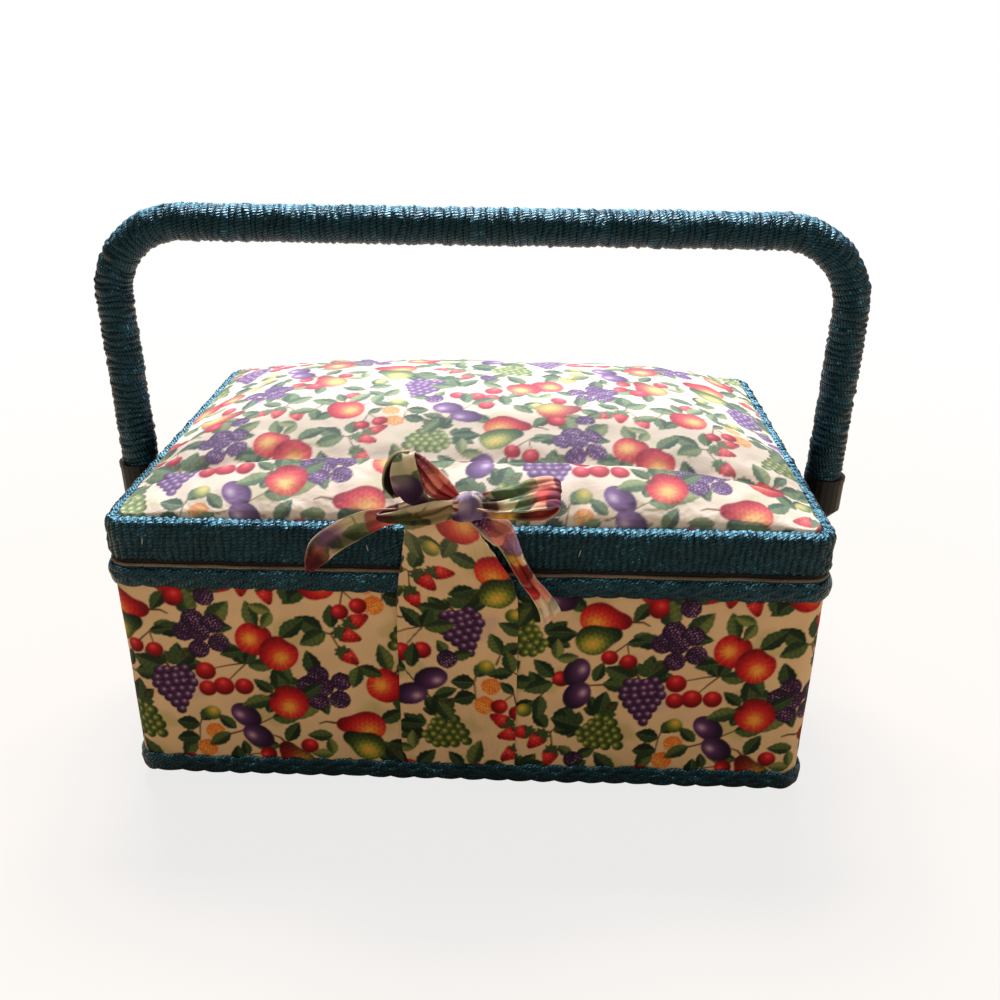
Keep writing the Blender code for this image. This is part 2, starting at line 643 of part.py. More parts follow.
def build_handle(materials, pivot):
    """Bent core rod, its cord winding as a ribbed tube, and a socket with a tab on each end."""
    core_low = SOCKET_TOP - SOCKET_BORE_DEPTH + SEAT_GAP
    core = handle_path(core_low)
    rings = [ring_on_path(station, CORE_RADIUS, SMALL_ROUND_SIDES) for station in core]
    add_piece("handle_core", stack(rings), materials["core_rod"], pivot, math.radians(50))

    fine_path = handle_path(SOCKET_TOP + SEAT_GAP, 4 * BEND_STEPS)
    crest_and_groove = even_stations(fine_path, 2 * WRAP_RIBS + 1)
    outside = []
    for index, station in enumerate(crest_and_groove):
        radius = WRAP_RADIUS if index % 2 else WRAP_RADIUS - WRAP_GROOVE
        outside.append(ring_on_path(station, radius, WRAP_SIDES))
    bore_path = handle_path(SOCKET_TOP + SEAT_GAP)
    bore_radius = CORE_RADIUS + SEAT_GAP
    bore = [ring_on_path(station, bore_radius, WRAP_SIDES) for station in reversed(bore_path)]
    add_piece("handle_wrap", stack(outside + bore, closed=True), materials["teal_cord"], pivot,
              math.radians(80))

    tab_inner = handle_lean(SOCKET_TOP) - SOCKET_RADIUS + SEAT_GAP
    tab_centre = tab_inner + TAB_THICKNESS / 2
    neck_top = SOCKET_TOP - SOCKET_ROUND_LENGTH
    neck_bottom = neck_top - SOCKET_NECK_LENGTH
    lip_radius = SOCKET_RADIUS + SOCKET_LIP
    lip_low = SOCKET_TOP - SOCKET_LIP_HEIGHT
    squareness_shares = (0.6, 0.2)
    for side, name in ((-1, "left"), (1, "right")):
        sections = [
            (SOCKET_TOP, handle_lean(SOCKET_TOP), lip_radius, lip_radius),
            (lip_low, handle_lean(SOCKET_TOP), lip_radius, lip_radius),
            (lip_low - SOCKET_LIP, handle_lean(SOCKET_TOP), SOCKET_RADIUS, SOCKET_RADIUS),
            (neck_top, handle_lean(neck_top), SOCKET_RADIUS, SOCKET_RADIUS),
            (neck_top - SOCKET_NECK_LENGTH / 2, (handle_lean(neck_top) + tab_centre) / 2,
             (SOCKET_RADIUS + TAB_THICKNESS / 2) / 2, SOCKET_RADIUS),
            (neck_bottom, tab_centre, TAB_THICKNESS / 2, TAB_RADIUS),
            (PIVOT_HEIGHT, tab_centre, TAB_THICKNESS / 2, TAB_RADIUS),
        ]
        for degrees in (30, 50, 68, 82):
            drop = TAB_RADIUS * math.sin(math.radians(degrees))
            sections.append((PIVOT_HEIGHT - drop, tab_centre, TAB_THICKNESS / 2,
                             TAB_RADIUS * math.cos(math.radians(degrees))))
        loops = []
        for height, x, half_x, half_y in sections:
            flat_share = max(0.0, min(1.0, (neck_top - height) / SOCKET_NECK_LENGTH))
            loop = []
            for index in range(ROUND_SIDES):
                turn = 2 * math.pi * index / ROUND_SIDES
                power_x, power_y = (1 - share * flat_share for share in squareness_shares)
                along = math.copysign(abs(math.cos(turn)) ** power_x, math.cos(turn))
                across = math.copysign(abs(math.sin(turn)) ** power_y, math.sin(turn))
                loop.append((side * (x + half_x * along), CENTRE_Y + half_y * across, height))
            loops.append(loop)
        socket = add_piece("handle_socket_" + name, stack(loops), materials["black_plastic"], pivot,
                           math.radians(40))
        bore_radius = CORE_RADIUS + SEAT_GAP
        low, high = SOCKET_TOP - SOCKET_BORE_DEPTH, SOCKET_TOP + CUT_OVERRUN
        rings = []
        for z in (low, high):
            rings.append(ring_about_z(z, bore_radius, side * handle_lean(z), CENTRE_Y, SMALL_ROUND_SIDES))
        cut(socket, "core_bore_" + name, stack(rings))
        cut(socket, "pivot_hole_" + name, rod_along_x(
            side * (tab_inner - CUT_OVERRUN), side * (tab_inner + TAB_THICKNESS + CUT_OVERRUN),
            PIN_RADIUS + PIN_CLEARANCE, CENTRE_Y, PIVOT_HEIGHT, ROUND_SIDES))


def build_lid_frame(materials, pivot):
    """Board rim, the cord wound over it, the board inside it and the cloth under the board."""
    frame_outer = BAND_SKIN + SEAT_GAP
    frame_inner = frame_outer + FRAME_THICKNESS
    add_piece("lid_frame", stack([
        lid_loop(frame_outer, LID_BOTTOM),
        lid_loop(frame_outer, FRAME_TOP),
        lid_loop(frame_inner, FRAME_TOP),
        lid_loop(frame_inner, LID_BOTTOM),
    ], closed=True), materials["board"], pivot)
    lip = BAND_LIP_ROUND
    add_piece("lid_band", stack([
        lid_loop(BAND_SKIN, LID_BOTTOM),
        lid_loop(0.0, LID_BOTTOM),
        lid_loop(0.0, LID_TOP - lip),
        lid_loop(lip / 3, LID_TOP - lip / 3),
        lid_loop(lip, LID_TOP),
        lid_loop(frame_inner - lip / 2, LID_TOP),
        lid_loop(frame_inner, LID_TOP - lip / 2),
        lid_loop(frame_inner, FRAME_TOP + SEAT_GAP),
        lid_loop(BAND_SKIN, FRAME_TOP + SEAT_GAP),
    ], closed=True), materials["teal_cord"], pivot, math.radians(50))
    inside = frame_inner + SEAT_GAP
    add_piece("lid_board", stack([lid_loop(inside, LID_BOARD_BOTTOM), lid_loop(inside, LID_BOARD_TOP)]),
              materials["board"], pivot)
    add_piece("lid_lining", stack([lid_loop(inside, LID_LINING_BOTTOM), lid_loop(inside, LID_LINING_TOP)]),
              materials["lining_cloth"], pivot)
    return inside


def cushion_height(x_share, y_share):
    """Height of the padding over the lid's top edge, at a place given in shares of the half sizes."""
    long_share = max(0.0, 1 - abs(x_share) ** 4.0) ** 0.85
    short_share = max(0.0, 1 - abs(y_share) ** 2.6) ** 0.6
    crown = CUSHION_EDGE_RISE + (CUSHION_CROWN - CUSHION_EDGE_RISE) * long_share * short_share
    crease_line = -LID_DEPTH / 2 + CREASE_INSET - CREASE_END_DROP * abs(x_share) ** 6
    distance = (y_share * LID_DEPTH / 2 - crease_line) / CREASE_WIDTH
    fade_share = max(0.0, 1 - abs(x_share) ** 10)
    return crown - CREASE_DEPTH * fade_share * math.exp(-distance * distance)


def outline_point(x_share, y_share, half_x, half_y, radius):
    """Point of a grid of shares drawn in so that its edge follows a rectangle with round corners."""
    y = y_share * half_y
    into_corner = max(0.0, abs(y) - (half_y - radius))
    reach = half_x - radius + math.sqrt(max(0.0, radius * radius - into_corner * into_corner))
    return x_share * reach, CENTRE_Y + y


def build_cushion(materials, pivot, inside):
    """Padded top: crowned, creased across near the front, and drawn in where it meets the band."""
    x_shares = (-1.0, -0.985, -0.955, -0.91, -0.85, -0.75, -0.6, -0.4, -0.2, 0.0,
                0.2, 0.4, 0.6, 0.75, 0.85, 0.91, 0.955, 0.985, 1.0)
    y_shares = (-1.0, -0.985, -0.95, -0.9, -0.84, -0.78, -0.73, -0.70, -0.67, -0.64, -0.61, -0.56, -0.48,
                -0.36, -0.18, 0.0, 0.2, 0.4, 0.58, 0.72, 0.83, 0.91, 0.96, 0.985, 1.0)
    lower_half = (LID_WIDTH / 2 - inside, LID_DEPTH / 2 - inside)
    upper_half = (lower_half[0] + CUSHION_PUFF, lower_half[1] + CUSHION_PUFF)
    radius = LID_CORNER_RADIUS - inside + CUSHION_PUFF
    bm = bmesh.new()
    grid = []
    for y_share in y_shares:
        row = []
        for x_share in x_shares:
            x, y = outline_point(x_share, y_share, *upper_half, radius)
            row.append(bm.verts.new((x, y, LID_TOP + cushion_height(x_share, y_share))))
        grid.append(row)
    for lower_row, upper_row in zip(grid[:-1], grid[1:]):
        for index in range(len(x_shares) - 1):
            bm.faces.new((lower_row[index], lower_row[index + 1], upper_row[index + 1], upper_row[index]))

    last_x, last_y = len(x_shares) - 1, len(y_shares) - 1
    border = [(index, 0) for index in range(last_x)]
    border += [(last_x, index) for index in range(last_y)]
    border += [(index, last_y) for index in range(last_x, 0, -1)]
    border += [(0, index) for index in range(last_y, 0, -1)]
    previous = [grid[j][i] for i, j in border]
    for height in (LID_TOP + SEAT_GAP, LID_BOARD_TOP + SEAT_GAP):
        ring = []
        for i, j in border:
            x, y = outline_point(x_shares[i], y_shares[j], *lower_half, radius - CUSHION_PUFF)
            ring.append(bm.verts.new((x, y, height)))
        for index in range(len(ring)):
            following = (index + 1) % len(ring)
            bm.faces.new((ring[index], ring[following], previous[following], previous[index]))
        previous = ring
    bm.faces.new(reversed(previous))
    add_piece("lid_cushion", bm, materials["printed_cloth"], pivot, math.radians(60))


def build_lid_inside(materials, pivot):
    """Elastic-topped pocket and pincushion sewn to the cloth under the lid."""
    top = LID_LINING_BOTTOM - SEAT_GAP
    front = CENTRE_Y - POCKET_OFFSET - POCKET_DEPTH / 2
    back = front + POCKET_DEPTH
    hem_low = top - POCKET_HEM_THICKNESS
    profile = [
        (front, top),
        (back, top),
        (back, hem_low),
        (back - POCKET_HEM, hem_low),
        (back - POCKET_HEM, top - POCKET_THICKNESS),
        (front, top - POCKET_THICKNESS),
    ]
    half = POCKET_WIDTH / 2
    add_piece("lid_pocket", stack([[(x, y, z) for y, z in profile] for x in (-half, half)]),
              materials["lining_cloth"], pivot)

    loops = []
    centre_y = CENTRE_Y + PIN_CUSHION_OFFSET
    top_share = 0.50
    for step in range(PIN_CUSHION_STEPS + 1):
        angle = math.pi / 2 * step / PIN_CUSHION_STEPS
        spread_share = top_share + (1 - top_share) * max(0.0, math.cos(angle)) ** 0.5
        width = PIN_CUSHION_WIDTH * spread_share
        depth = PIN_CUSHION_DEPTH * spread_share
        height = top - PIN_CUSHION_HEIGHT * math.sin(angle)
        loops.append(rounded_rectangle(width, depth, depth / 4, height, 0.0, centre_y))
    add_piece("pin_cushion", stack(loops), materials["printed_cloth"], pivot, math.radians(60))


def build_hinges(materials, lid_pivot):
    """Two butt hinges on the back: body leaf with two knuckles, lid leaf with one, and a pin."""
    axis_y, axis_z = HINGE_AXIS_Y, HINGE_AXIS_HEIGHT
    barrel = HINGE_BARREL_RADIUS
    knuckle = HINGE_LENGTH / 3
    leaf_back = BODY_BACK + BRAID_OUT + SEAT_GAP
    leaf_top = BODY_HEIGHT - barrel
    web = (leaf_back, leaf_top, axis_y, axis_z)
    for side, name in ((-1, "left"), (1, "right")):
        centre = side * (LID_WIDTH / 2 - HINGE_INSET)
        start = centre - HINGE_LENGTH / 2
        end = start + HINGE_LENGTH
        first_end = start + knuckle - SEAT_GAP
        last_start = start + 2 * knuckle + SEAT_GAP
        body_leaf = join([
            box((start, leaf_back, BRAID_BOTTOM), (end, leaf_back + LEAF_THICKNESS, leaf_top)),
            slanted_web(start, first_end, *web),
            slanted_web(last_start, end, *web),
            rod_along_x(start, first_end, barrel, axis_y, axis_z, SMALL_ROUND_SIDES),
            rod_along_x(last_start, end, barrel, axis_y, axis_z, SMALL_ROUND_SIDES),
        ], "hinge_leaf_body_" + name, materials["brass"])
        pin_hole = HINGE_PIN_RADIUS + HINGE_PIN_CLEARANCE
        hole = (start - CUT_OVERRUN, end + CUT_OVERRUN, pin_hole, axis_y, axis_z, SMALL_ROUND_SIDES)
        cut(body_leaf, "body_leaf_bore_" + name, rod_along_x(*hole))

        lid_leaf_front = LID_BACK + SEAT_GAP
        lid_leaf_back = lid_leaf_front + LEAF_THICKNESS
        lid_leaf_low = LID_BOTTOM + barrel + LEAF_STANDOFF
        lid_leaf = join([
            box((start, lid_leaf_front, lid_leaf_low),
                (end, lid_leaf_back, LID_BOTTOM + barrel + LEAF_HEIGHT)),
            box((start + knuckle, lid_leaf_front, axis_z),
                (start + 2 * knuckle, lid_leaf_back, lid_leaf_low + LEAF_STANDOFF)),
            rod_along_x(start + knuckle, start + 2 * knuckle, barrel, axis_y, axis_z, SMALL_ROUND_SIDES),
        ], "hinge_leaf_lid_" + name, materials["brass"], lid_pivot)
        cut(lid_leaf, "lid_leaf_bore_" + name, rod_along_x(*hole))

        pin_start = start - SEAT_GAP
        pin_end = end + SEAT_GAP
        add_piece("hinge_pin_" + name, turned_about_x([
            (pin_start - HINGE_PIN_HEAD, HINGE_PIN_HEAD_RADIUS), (pin_start, HINGE_PIN_HEAD_RADIUS),
            (pin_start, HINGE_PIN_RADIUS), (pin_end, HINGE_PIN_RADIUS), (pin_end, HINGE_PIN_HEAD_RADIUS),
            (pin_end + HINGE_PIN_HEAD, HINGE_PIN_HEAD_RADIUS),
        ], axis_y, axis_z, SMALL_ROUND_SIDES), materials["brass"], smooth_angle=math.radians(40))


def slanted_web(x_low, x_high, leaf_back, leaf_top, axis_y, axis_z):
    """Bent neck that carries a hinge knuckle out from its leaf."""
    low_share, high_share = 0.9, 0.3
    profile = [
        (leaf_back, leaf_top - LEAF_THICKNESS),
        (leaf_back + LEAF_THICKNESS, leaf_top - LEAF_THICKNESS),
        (axis_y, axis_z - HINGE_BARREL_RADIUS * low_share),
        (axis_y, axis_z - HINGE_BARREL_RADIUS * high_share),
        (leaf_back, leaf_top),
    ]
    return stack([[(x, y, z) for y, z in profile] for x in (x_low, x_high)])


def join(parts, name, material, pivot=None):
    """One solid from overlapping closed parts: the first carries Boolean unions with the others."""
    base = add_piece(name, parts[0], material, pivot)
    for index, bm in enumerate(parts[1:]):
        part_name = name + "_part_" + str(index + 1)
        bmesh.ops.recalc_face_normals(bm, faces=bm.faces)
        mesh = bpy.data.meshes.new(part_name)
        bm.to_mesh(mesh)
        bm.free()
        helper = bpy.data.objects.new(part_name, mesh)
        helper.hide_render = True
        helper.display_type = "WIRE"
        bpy.context.scene.collection.objects.link(helper)
        modifier = base.modifiers.new(part_name, "BOOLEAN")
        modifier.operation = "UNION"
        modifier.solver = "EXACT"
        modifier.object = helper
    return base


def build_strap(materials, strap_pivot, lid_pivot):
    """Printed strap: sewn to the body up to its fold line, free above it, and closed on the lid's band."""
    half = STRAP_WIDTH / 2
    middle = BODY_FRONT - SEAT_GAP - STRAP_THICKNESS / 2
    fold_gap = SEAT_GAP / 2
    low = TRIM_TOP + SEAT_GAP
    add_piece("strap_lower", ribbon([
        ((STRAP_OFFSET, middle, low), (half, 0, 0), 0),
        ((STRAP_OFFSET, middle, STRAP_FOLD_HEIGHT - fold_gap), (half, 0, 0), 0),
    ], STRAP_THICKNESS), materials["printed_cloth"])

    over_braid = middle - BRAID_OUT
    over_band = LID_FRONT - PATCH_STACK - STRAP_THICKNESS / 2
    slack = BRAID_OUT
    top_left = STRAP_TOP_OFFSET - STRAP_TOP_WIDTH / 2
    top_right = STRAP_TOP_OFFSET + STRAP_TOP_WIDTH / 2
    low_left = STRAP_OFFSET - half
    low_right = STRAP_OFFSET + half
    knot_low = KNOT_LEVEL - KNOT_HEIGHT / 2
    rows = [
        (STRAP_FOLD_HEIGHT + fold_gap, middle, 0.0),
        (BRAID_BOTTOM - slack, middle, 0.0),
        (BRAID_BOTTOM - SEAT_GAP, over_braid, 0.0),
        (WALL_TOP, over_braid, 0.0),
        (LID_BOTTOM + slack, over_band, 0.0),
        ((LID_BOTTOM + LID_TOP) / 2, over_band, 0.0),
        (LID_TOP, over_band, 0.0),
        (knot_low, over_band, STRAP_SAG),
        (STRAP_TOP, over_band, 0.0),
    ]
    taper_shares = [(0.0, 0.0), (0.05, 0.0), (0.1, 0.05), (0.3, 0.3), (0.4, 0.45), (0.6, 0.65),
                    (0.8, 0.85), (1.0, 1.0), (1.0, 1.0)]
    stations = []
    for (height, y, fold), (left_share, right_share) in zip(rows, taper_shares):
        left = low_left + (top_left - low_left) * left_share
        right = low_right + (top_right - low_right) * right_share
        stations.append((((left + right) / 2, y, height), ((right - left) / 2, 0, 0), fold))
    add_piece("strap_flap", ribbon(stations, STRAP_THICKNESS), materials["printed_cloth"], strap_pivot,
              math.radians(50))

    patch_x = (low_left + top_left + low_right + top_right) / 4
    patch_low = (LID_BOTTOM + LID_TOP - PATCH_HEIGHT) / 2
    lid_patch_back = LID_FRONT - SEAT_GAP
    strap_patch_back = lid_patch_back - PATCH_THICKNESS - SEAT_GAP
    for name, back, pivot in (("closure_patch_lid", lid_patch_back, lid_pivot),
                              ("closure_patch_strap", strap_patch_back, strap_pivot)):
        add_piece(name, box((patch_x - PATCH_WIDTH / 2, back - PATCH_THICKNESS, patch_low),
                            (patch_x + PATCH_WIDTH / 2, back, patch_low + PATCH_HEIGHT)),
                  materials["hook_tape"], pivot)


def bow_loop(root, direction, width_direction, length, width, depth, root_width):
    """Strip of cloth bent into a loop: out along one side, round the end and back along the other.

    root is the middle of the loop's end at the knot. The loop's depth lies along Y.
    """
    direction = Vector(direction).normalized()
    width_direction = Vector(width_direction).normalized()
    stations = []
    last = LOOP_STEPS
    for step in range(last + 1):
        turn = -math.pi + 2 * math.pi * step / last
        along_share = (1 + math.cos(turn)) / 2
        swell_share = math.sin(turn) * along_share ** 0.45
        half_depth = LOOP_ROOT_DEPTH / 2 * (1 - along_share) * math.copysign(1, turn if step < last else 1)
        if step == 0:
            half_depth = -LOOP_ROOT_DEPTH / 2
        centre = root + direction * length * along_share
        centre = centre + Vector((0, (depth - BOW_CLOTH) / 2 * swell_share + half_depth, 0))
        half_width = (root_width + (width - root_width) * along_share ** 0.6) / 2
        stations.append((centre, width_direction * half_width, LOOP_FOLD * (1 - along_share)))
    return ribbon(stations, BOW_CLOTH)


def build_bow(materials, pivot):
    """Knot, two side loops, a standing loop and two tails of the printed cloth."""
    cloth = materials["printed_cloth"]
    back = LID_FRONT - PATCH_STACK - STRAP_THICKNESS - SEAT_GAP
    knot_y = back - KNOT_DEPTH / 2
    knot_x, knot_z = KNOT_OFFSET, KNOT_LEVEL
    loops = []
    waist_shares = (0.55, 0.85, 1.0, 0.92, 1.0, 0.85, 0.55)
    for index, waist in enumerate(waist_shares):
        share = index / (len(waist_shares) - 1)
        z = knot_z - KNOT_HEIGHT / 2 + KNOT_HEIGHT * share
        loops.append(rounded_rectangle(KNOT_WIDTH * waist, KNOT_DEPTH * waist, KNOT_DEPTH * waist / 3, z,
                                       knot_x, knot_y, 2))
    add_piece("bow_knot", stack(loops), cloth, pivot, math.radians(60))

    side_gap = KNOT_WIDTH / 2 + SEAT_GAP
    right_rise_share, left_rise_share, top_rise_share = 0.14, -0.15, 0.36
    right_root = Vector((knot_x + side_gap, knot_y, knot_z + KNOT_HEIGHT / 8))
    add_piece("bow_loop_right",
              bow_loop(right_root, (1, 0, right_rise_share), (0, 0, 1), RIGHT_LOOP_LENGTH,
                       RIGHT_LOOP_WIDTH, RIGHT_LOOP_DEPTH, LOOP_ROOT_WIDTH),
              cloth, pivot, math.radians(60))
    left_y = back - KNOT_DEPTH + LEFT_LOOP_DEPTH / 2
    left_root = Vector((knot_x - side_gap, left_y, knot_z))
    add_piece("bow_loop_left",
              bow_loop(left_root, (-1, 0, left_rise_share), (0, 0, 1), LEFT_LOOP_LENGTH,
                       LEFT_LOOP_WIDTH, LEFT_LOOP_DEPTH, LOOP_ROOT_WIDTH),
              cloth, pivot, math.radians(60))
    top_width = Vector((top_rise_share, 0, 1)).normalized()
    top_lift = SEAT_GAP + LOOP_ROOT_WIDTH / 4 * top_width.z + BOW_CLOTH / 4
    top_root = Vector((knot_x - KNOT_WIDTH / 4, knot_y, knot_z + KNOT_HEIGHT / 2 + top_lift))
    add_piece("bow_loop_top",
              bow_loop(top_root, (-1, 0, top_rise_share), top_width, TOP_LOOP_LENGTH,
                       TOP_LOOP_WIDTH, TOP_LOOP_DEPTH, LOOP_ROOT_WIDTH / 2),
              cloth, pivot, math.radians(60))

    tail_y = back - BOW_CLOTH / 2 - TAIL_FOLD / 2
    tail_top = knot_z - KNOT_HEIGHT / 2 - SEAT_GAP - BOW_CLOTH / 2
    drop = tail_top - STRAP_FOLD_HEIGHT
    right_shares = ((0.0, 0.0, 0.035), (0.17, 0.09, 0.108), (0.285, 0.22, 0.088), (0.353, 0.34, 0.061),
                    (0.449, 0.48, 0.065), (0.553, 0.614, 0.082), (0.637, 0.767, 0.098))
    left_shares = ((0.0, 0.0, 0.035), (0.139, 0.003, 0.057), (0.404, -0.015, 0.082), (0.669, 0.01, 0.096),
                   (0.88, 0.10, 0.106), (1.057, 0.214, 0.106), (1.169, 0.35, 0.069), (1.237, 0.446, 0.02))
    for name, side, shares in (("bow_tail_right", 1, right_shares), ("bow_tail_left", -1, left_shares)):
        points = []
        for along, down, half in shares:
            x = knot_x + side * (KNOT_WIDTH / 5 + BOW_TAIL_LENGTH * along)
            points.append((x, tail_top - drop * down, BOW_TAIL_LENGTH * half))
        stations = []
        for index, (x, z, half_width) in enumerate(points):
            before = points[max(index - 1, 0)]
            after = points[min(index + 1, len(points) - 1)]
            run = Vector((after[0] - before[0], 0, after[1] - before[1])).normalized()
            across = Vector((run.z, 0, -run.x)) * half_width
            if index == 0:
                across = Vector((-half_width, 0, 0))
            fold = 0.0 if index == 0 else TAIL_FOLD / 2
            stations.append(((x, tail_y, z), across, fold))
        add_piece(name, ribbon(stations, BOW_CLOTH), cloth, pivot, math.radians(60))


def build_tray(materials, pivot):
    """Moulded tray on two ledges inside the body, with one long pocket and a row of short ones."""
    inner_x = BODY_WIDTH / 2 - LINING_INNER_INSET
    inner_y = BODY_DEPTH / 2 - LINING_INNER_INSET
    ledge_half = inner_y - LEDGE_END_GAP
    for side, name in ((-1, "left"), (1, "right")):
        x_near, x_far = side * (inner_x - SEAT_GAP), side * (inner_x - SEAT_GAP - LEDGE_WIDTH)
        add_piece("tray_ledge_" + name, box(
            (min(x_near, x_far), CENTRE_Y - ledge_half, LEDGE_LEVEL - LEDGE_HEIGHT),
            (max(x_near, x_far), CENTRE_Y + ledge_half, LEDGE_LEVEL)), materials["board"])

    depth = 2 * inner_y - TRAY_TRAVEL - 2 * RUNNING_GAP
    width = 2 * (inner_x - TRAY_SIDE_GAP)
    centre_y = CENTRE_Y + inner_y - RUNNING_GAP - depth / 2
    bottom = LEDGE_LEVEL + SEAT_GAP
    top = bottom + TRAY_HEIGHT

    def outline(inset, z):
        radius = max(TRAY_CORNER - inset, SEAT_GAP)
        return rounded_rectangle(width - 2 * inset, depth - 2 * inset, radius, z, 0.0, centre_y, 3)

    body_inset = TRAY_RIM_OUT
    tray = add_piece("sewing_tray", stack([
        outline(body_inset + TRAY_DRAFT, bottom),
        outline(body_inset, top - TRAY_RIM_HEIGHT),
        outline(0.0, top - TRAY_RIM_HEIGHT),
        outline(0.0, top),
    ]), materials["tray_plastic"], pivot)

    wall = TRAY_WALL + body_inset
    floor = bottom + TRAY_FLOOR
    pocket_front = centre_y - depth / 2 + wall
    pocket_back = centre_y + depth / 2 - wall
    pocket_left, pocket_right = -width / 2 + wall, width / 2 - wall
    pockets = [(pocket_left, pocket_right, pocket_front, pocket_front + TRAY_LONG_POCKET_DEPTH)]
    row_front = pocket_front + TRAY_LONG_POCKET_DEPTH + TRAY_WALL
    pocket_width = (pocket_right - pocket_left - (TRAY_POCKETS - 1) * TRAY_WALL) / TRAY_POCKETS
    for index in range(TRAY_POCKETS):
        left = pocket_left + index * (pocket_width + TRAY_WALL)
        pockets.append((left, left + pocket_width, row_front, pocket_back))
    for index, (x_low, x_high, y_low, y_high) in enumerate(pockets):
        x_mid, y_mid = (x_low + x_high) / 2, (y_low + y_high) / 2
        radius = TRAY_CORNER - body_inset - TRAY_DRAFT / 2
        loops = []
        for inset, z in ((TRAY_DRAFT, floor), (0.0, top + CUT_OVERRUN)):
            loops.append(rounded_rectangle(x_high - x_low - 2 * inset, y_high - y_low - 2 * inset,
                                           radius, z, x_mid, y_mid, 3))
        cut(tray, "tray_pocket_" + str(index), stack(loops))


def main():
    clear_scene()
    materials = build_materials()
    lid_pivot = make_pivot("lid_axis", (0, HINGE_AXIS_Y, HINGE_AXIS_HEIGHT))
    handle_pivot = make_pivot("handle_axis", (0, CENTRE_Y, PIVOT_HEIGHT))
    strap_pivot = make_pivot("strap_axis", (0, STRAP_FACE, STRAP_FOLD_HEIGHT))
    tray_pivot = make_pivot("tray_axis", (0, CENTRE_Y, LEDGE_LEVEL))

    walls = build_body_walls(materials)
    build_braid_and_trim(materials)
    build_feet(materials)
    build_handle_mounts(materials, walls)
    build_handle(materials, handle_pivot)
    inside = build_lid_frame(materials, lid_pivot)
    build_cushion(materials, lid_pivot, inside)
    build_lid_inside(materials, lid_pivot)
    build_hinges(materials, lid_pivot)
    build_strap(materials, strap_pivot, lid_pivot)
    build_bow(materials, strap_pivot)
    build_tray(materials, tray_pivot)


main()
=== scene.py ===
import math

import bpy
import numpy as np
from mathutils import Matrix, Vector


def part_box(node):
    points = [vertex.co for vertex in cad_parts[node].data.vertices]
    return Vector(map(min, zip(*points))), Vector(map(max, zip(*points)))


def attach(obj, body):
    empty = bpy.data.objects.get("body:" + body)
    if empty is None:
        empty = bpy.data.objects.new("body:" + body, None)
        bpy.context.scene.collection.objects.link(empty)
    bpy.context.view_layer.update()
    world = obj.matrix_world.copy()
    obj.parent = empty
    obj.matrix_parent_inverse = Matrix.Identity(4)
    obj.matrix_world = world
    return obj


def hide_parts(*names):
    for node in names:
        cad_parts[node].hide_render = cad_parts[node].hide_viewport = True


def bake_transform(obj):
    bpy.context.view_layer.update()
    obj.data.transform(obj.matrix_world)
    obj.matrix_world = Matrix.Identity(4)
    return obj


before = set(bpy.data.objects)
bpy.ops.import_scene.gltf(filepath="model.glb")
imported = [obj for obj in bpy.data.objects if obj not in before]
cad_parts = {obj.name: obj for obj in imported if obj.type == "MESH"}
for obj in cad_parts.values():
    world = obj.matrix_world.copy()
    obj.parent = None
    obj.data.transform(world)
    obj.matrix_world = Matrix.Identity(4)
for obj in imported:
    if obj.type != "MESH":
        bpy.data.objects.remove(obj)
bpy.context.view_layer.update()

MM = 0.001


def box(name):
    """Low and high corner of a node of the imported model."""
    return [np.array(corner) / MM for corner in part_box(name)]


COVER_LOW, COVER_HIGH = box("body_cover")
BAND_LOW, BAND_HIGH = box("lid_band")
CUSHION_LOW, CUSHION_HIGH = box("lid_cushion")
BRAID_LOW, BRAID_HIGH = box("upper_braid")
TRIM_LOW, TRIM_HIGH = box("lower_trim")
WRAP_LOW, WRAP_HIGH = box("handle_wrap")
STRAP_LOW, STRAP_HIGH = box("strap_lower")
FLAP_LOW, _ = box("strap_flap")
KNOT_LOW, KNOT_HIGH = box("bow_knot")
CENTRE_Y = (COVER_LOW[1] + COVER_HIGH[1]) / 2
BODY_HALF = (COVER_HIGH - COVER_LOW)[:2] / 2
LID_HALF = (BAND_HIGH - BAND_LOW)[:2] / 2
BODY_CORNER = 9.0
LID_CORNER = 10.0
LID_TOP = BAND_HIGH[2]
LID_BOTTOM = BAND_LOW[2]

SIDES = ("left", "right")
FEET = ("front_left", "front_right", "back_left", "back_right")

# The printed cotton's repeat, the softness of an inked edge and the radius that holds a sprig
TILE_WIDTH = 152.0
TILE_HEIGHT = 126.0
INK_EDGE = 0.6
SPRIG_REACH = 27.0

# Distance to a motif's outline for points past its ends
OUTSIDE = 9.0

# Share by which the lid's print is lightened towards white: painted light for the lid's brightly lit top
LID_PAINTED_LIGHT = 0.24

# Cloth and inks
GROUND = (0.925, 0.860, 0.760)
LEAF_DARK = (0.14, 0.24, 0.19)
LEAF_MID = (0.29, 0.41, 0.28)
LEAF_LIGHT = (0.60, 0.65, 0.42)
STEM = (0.33, 0.25, 0.15)
RED_DEEP = (0.52, 0.07, 0.14)
RED = (0.82, 0.19, 0.24)
ROSE = (0.91, 0.43, 0.44)
ORANGE = (0.91, 0.54, 0.30)
GOLD = (0.96, 0.78, 0.42)
LIME = (0.74, 0.74, 0.38)
PEAR_GREEN = (0.36, 0.46, 0.24)
PURPLE_DEEP = (0.22, 0.13, 0.30)
PURPLE = (0.44, 0.31, 0.53)
LILAC = (0.80, 0.72, 0.84)
GRAPE_DEEP = (0.22, 0.32, 0.16)
GRAPE = (0.49, 0.57, 0.31)
GRAPE_PALE = (0.82, 0.84, 0.60)


def clamp(values):
    return np.clip(values, 0, 1)


def grid(rows, columns):
    """Both of two lists of numbers over the grid that they span."""
    return np.meshgrid(rows, columns, indexing="ij")


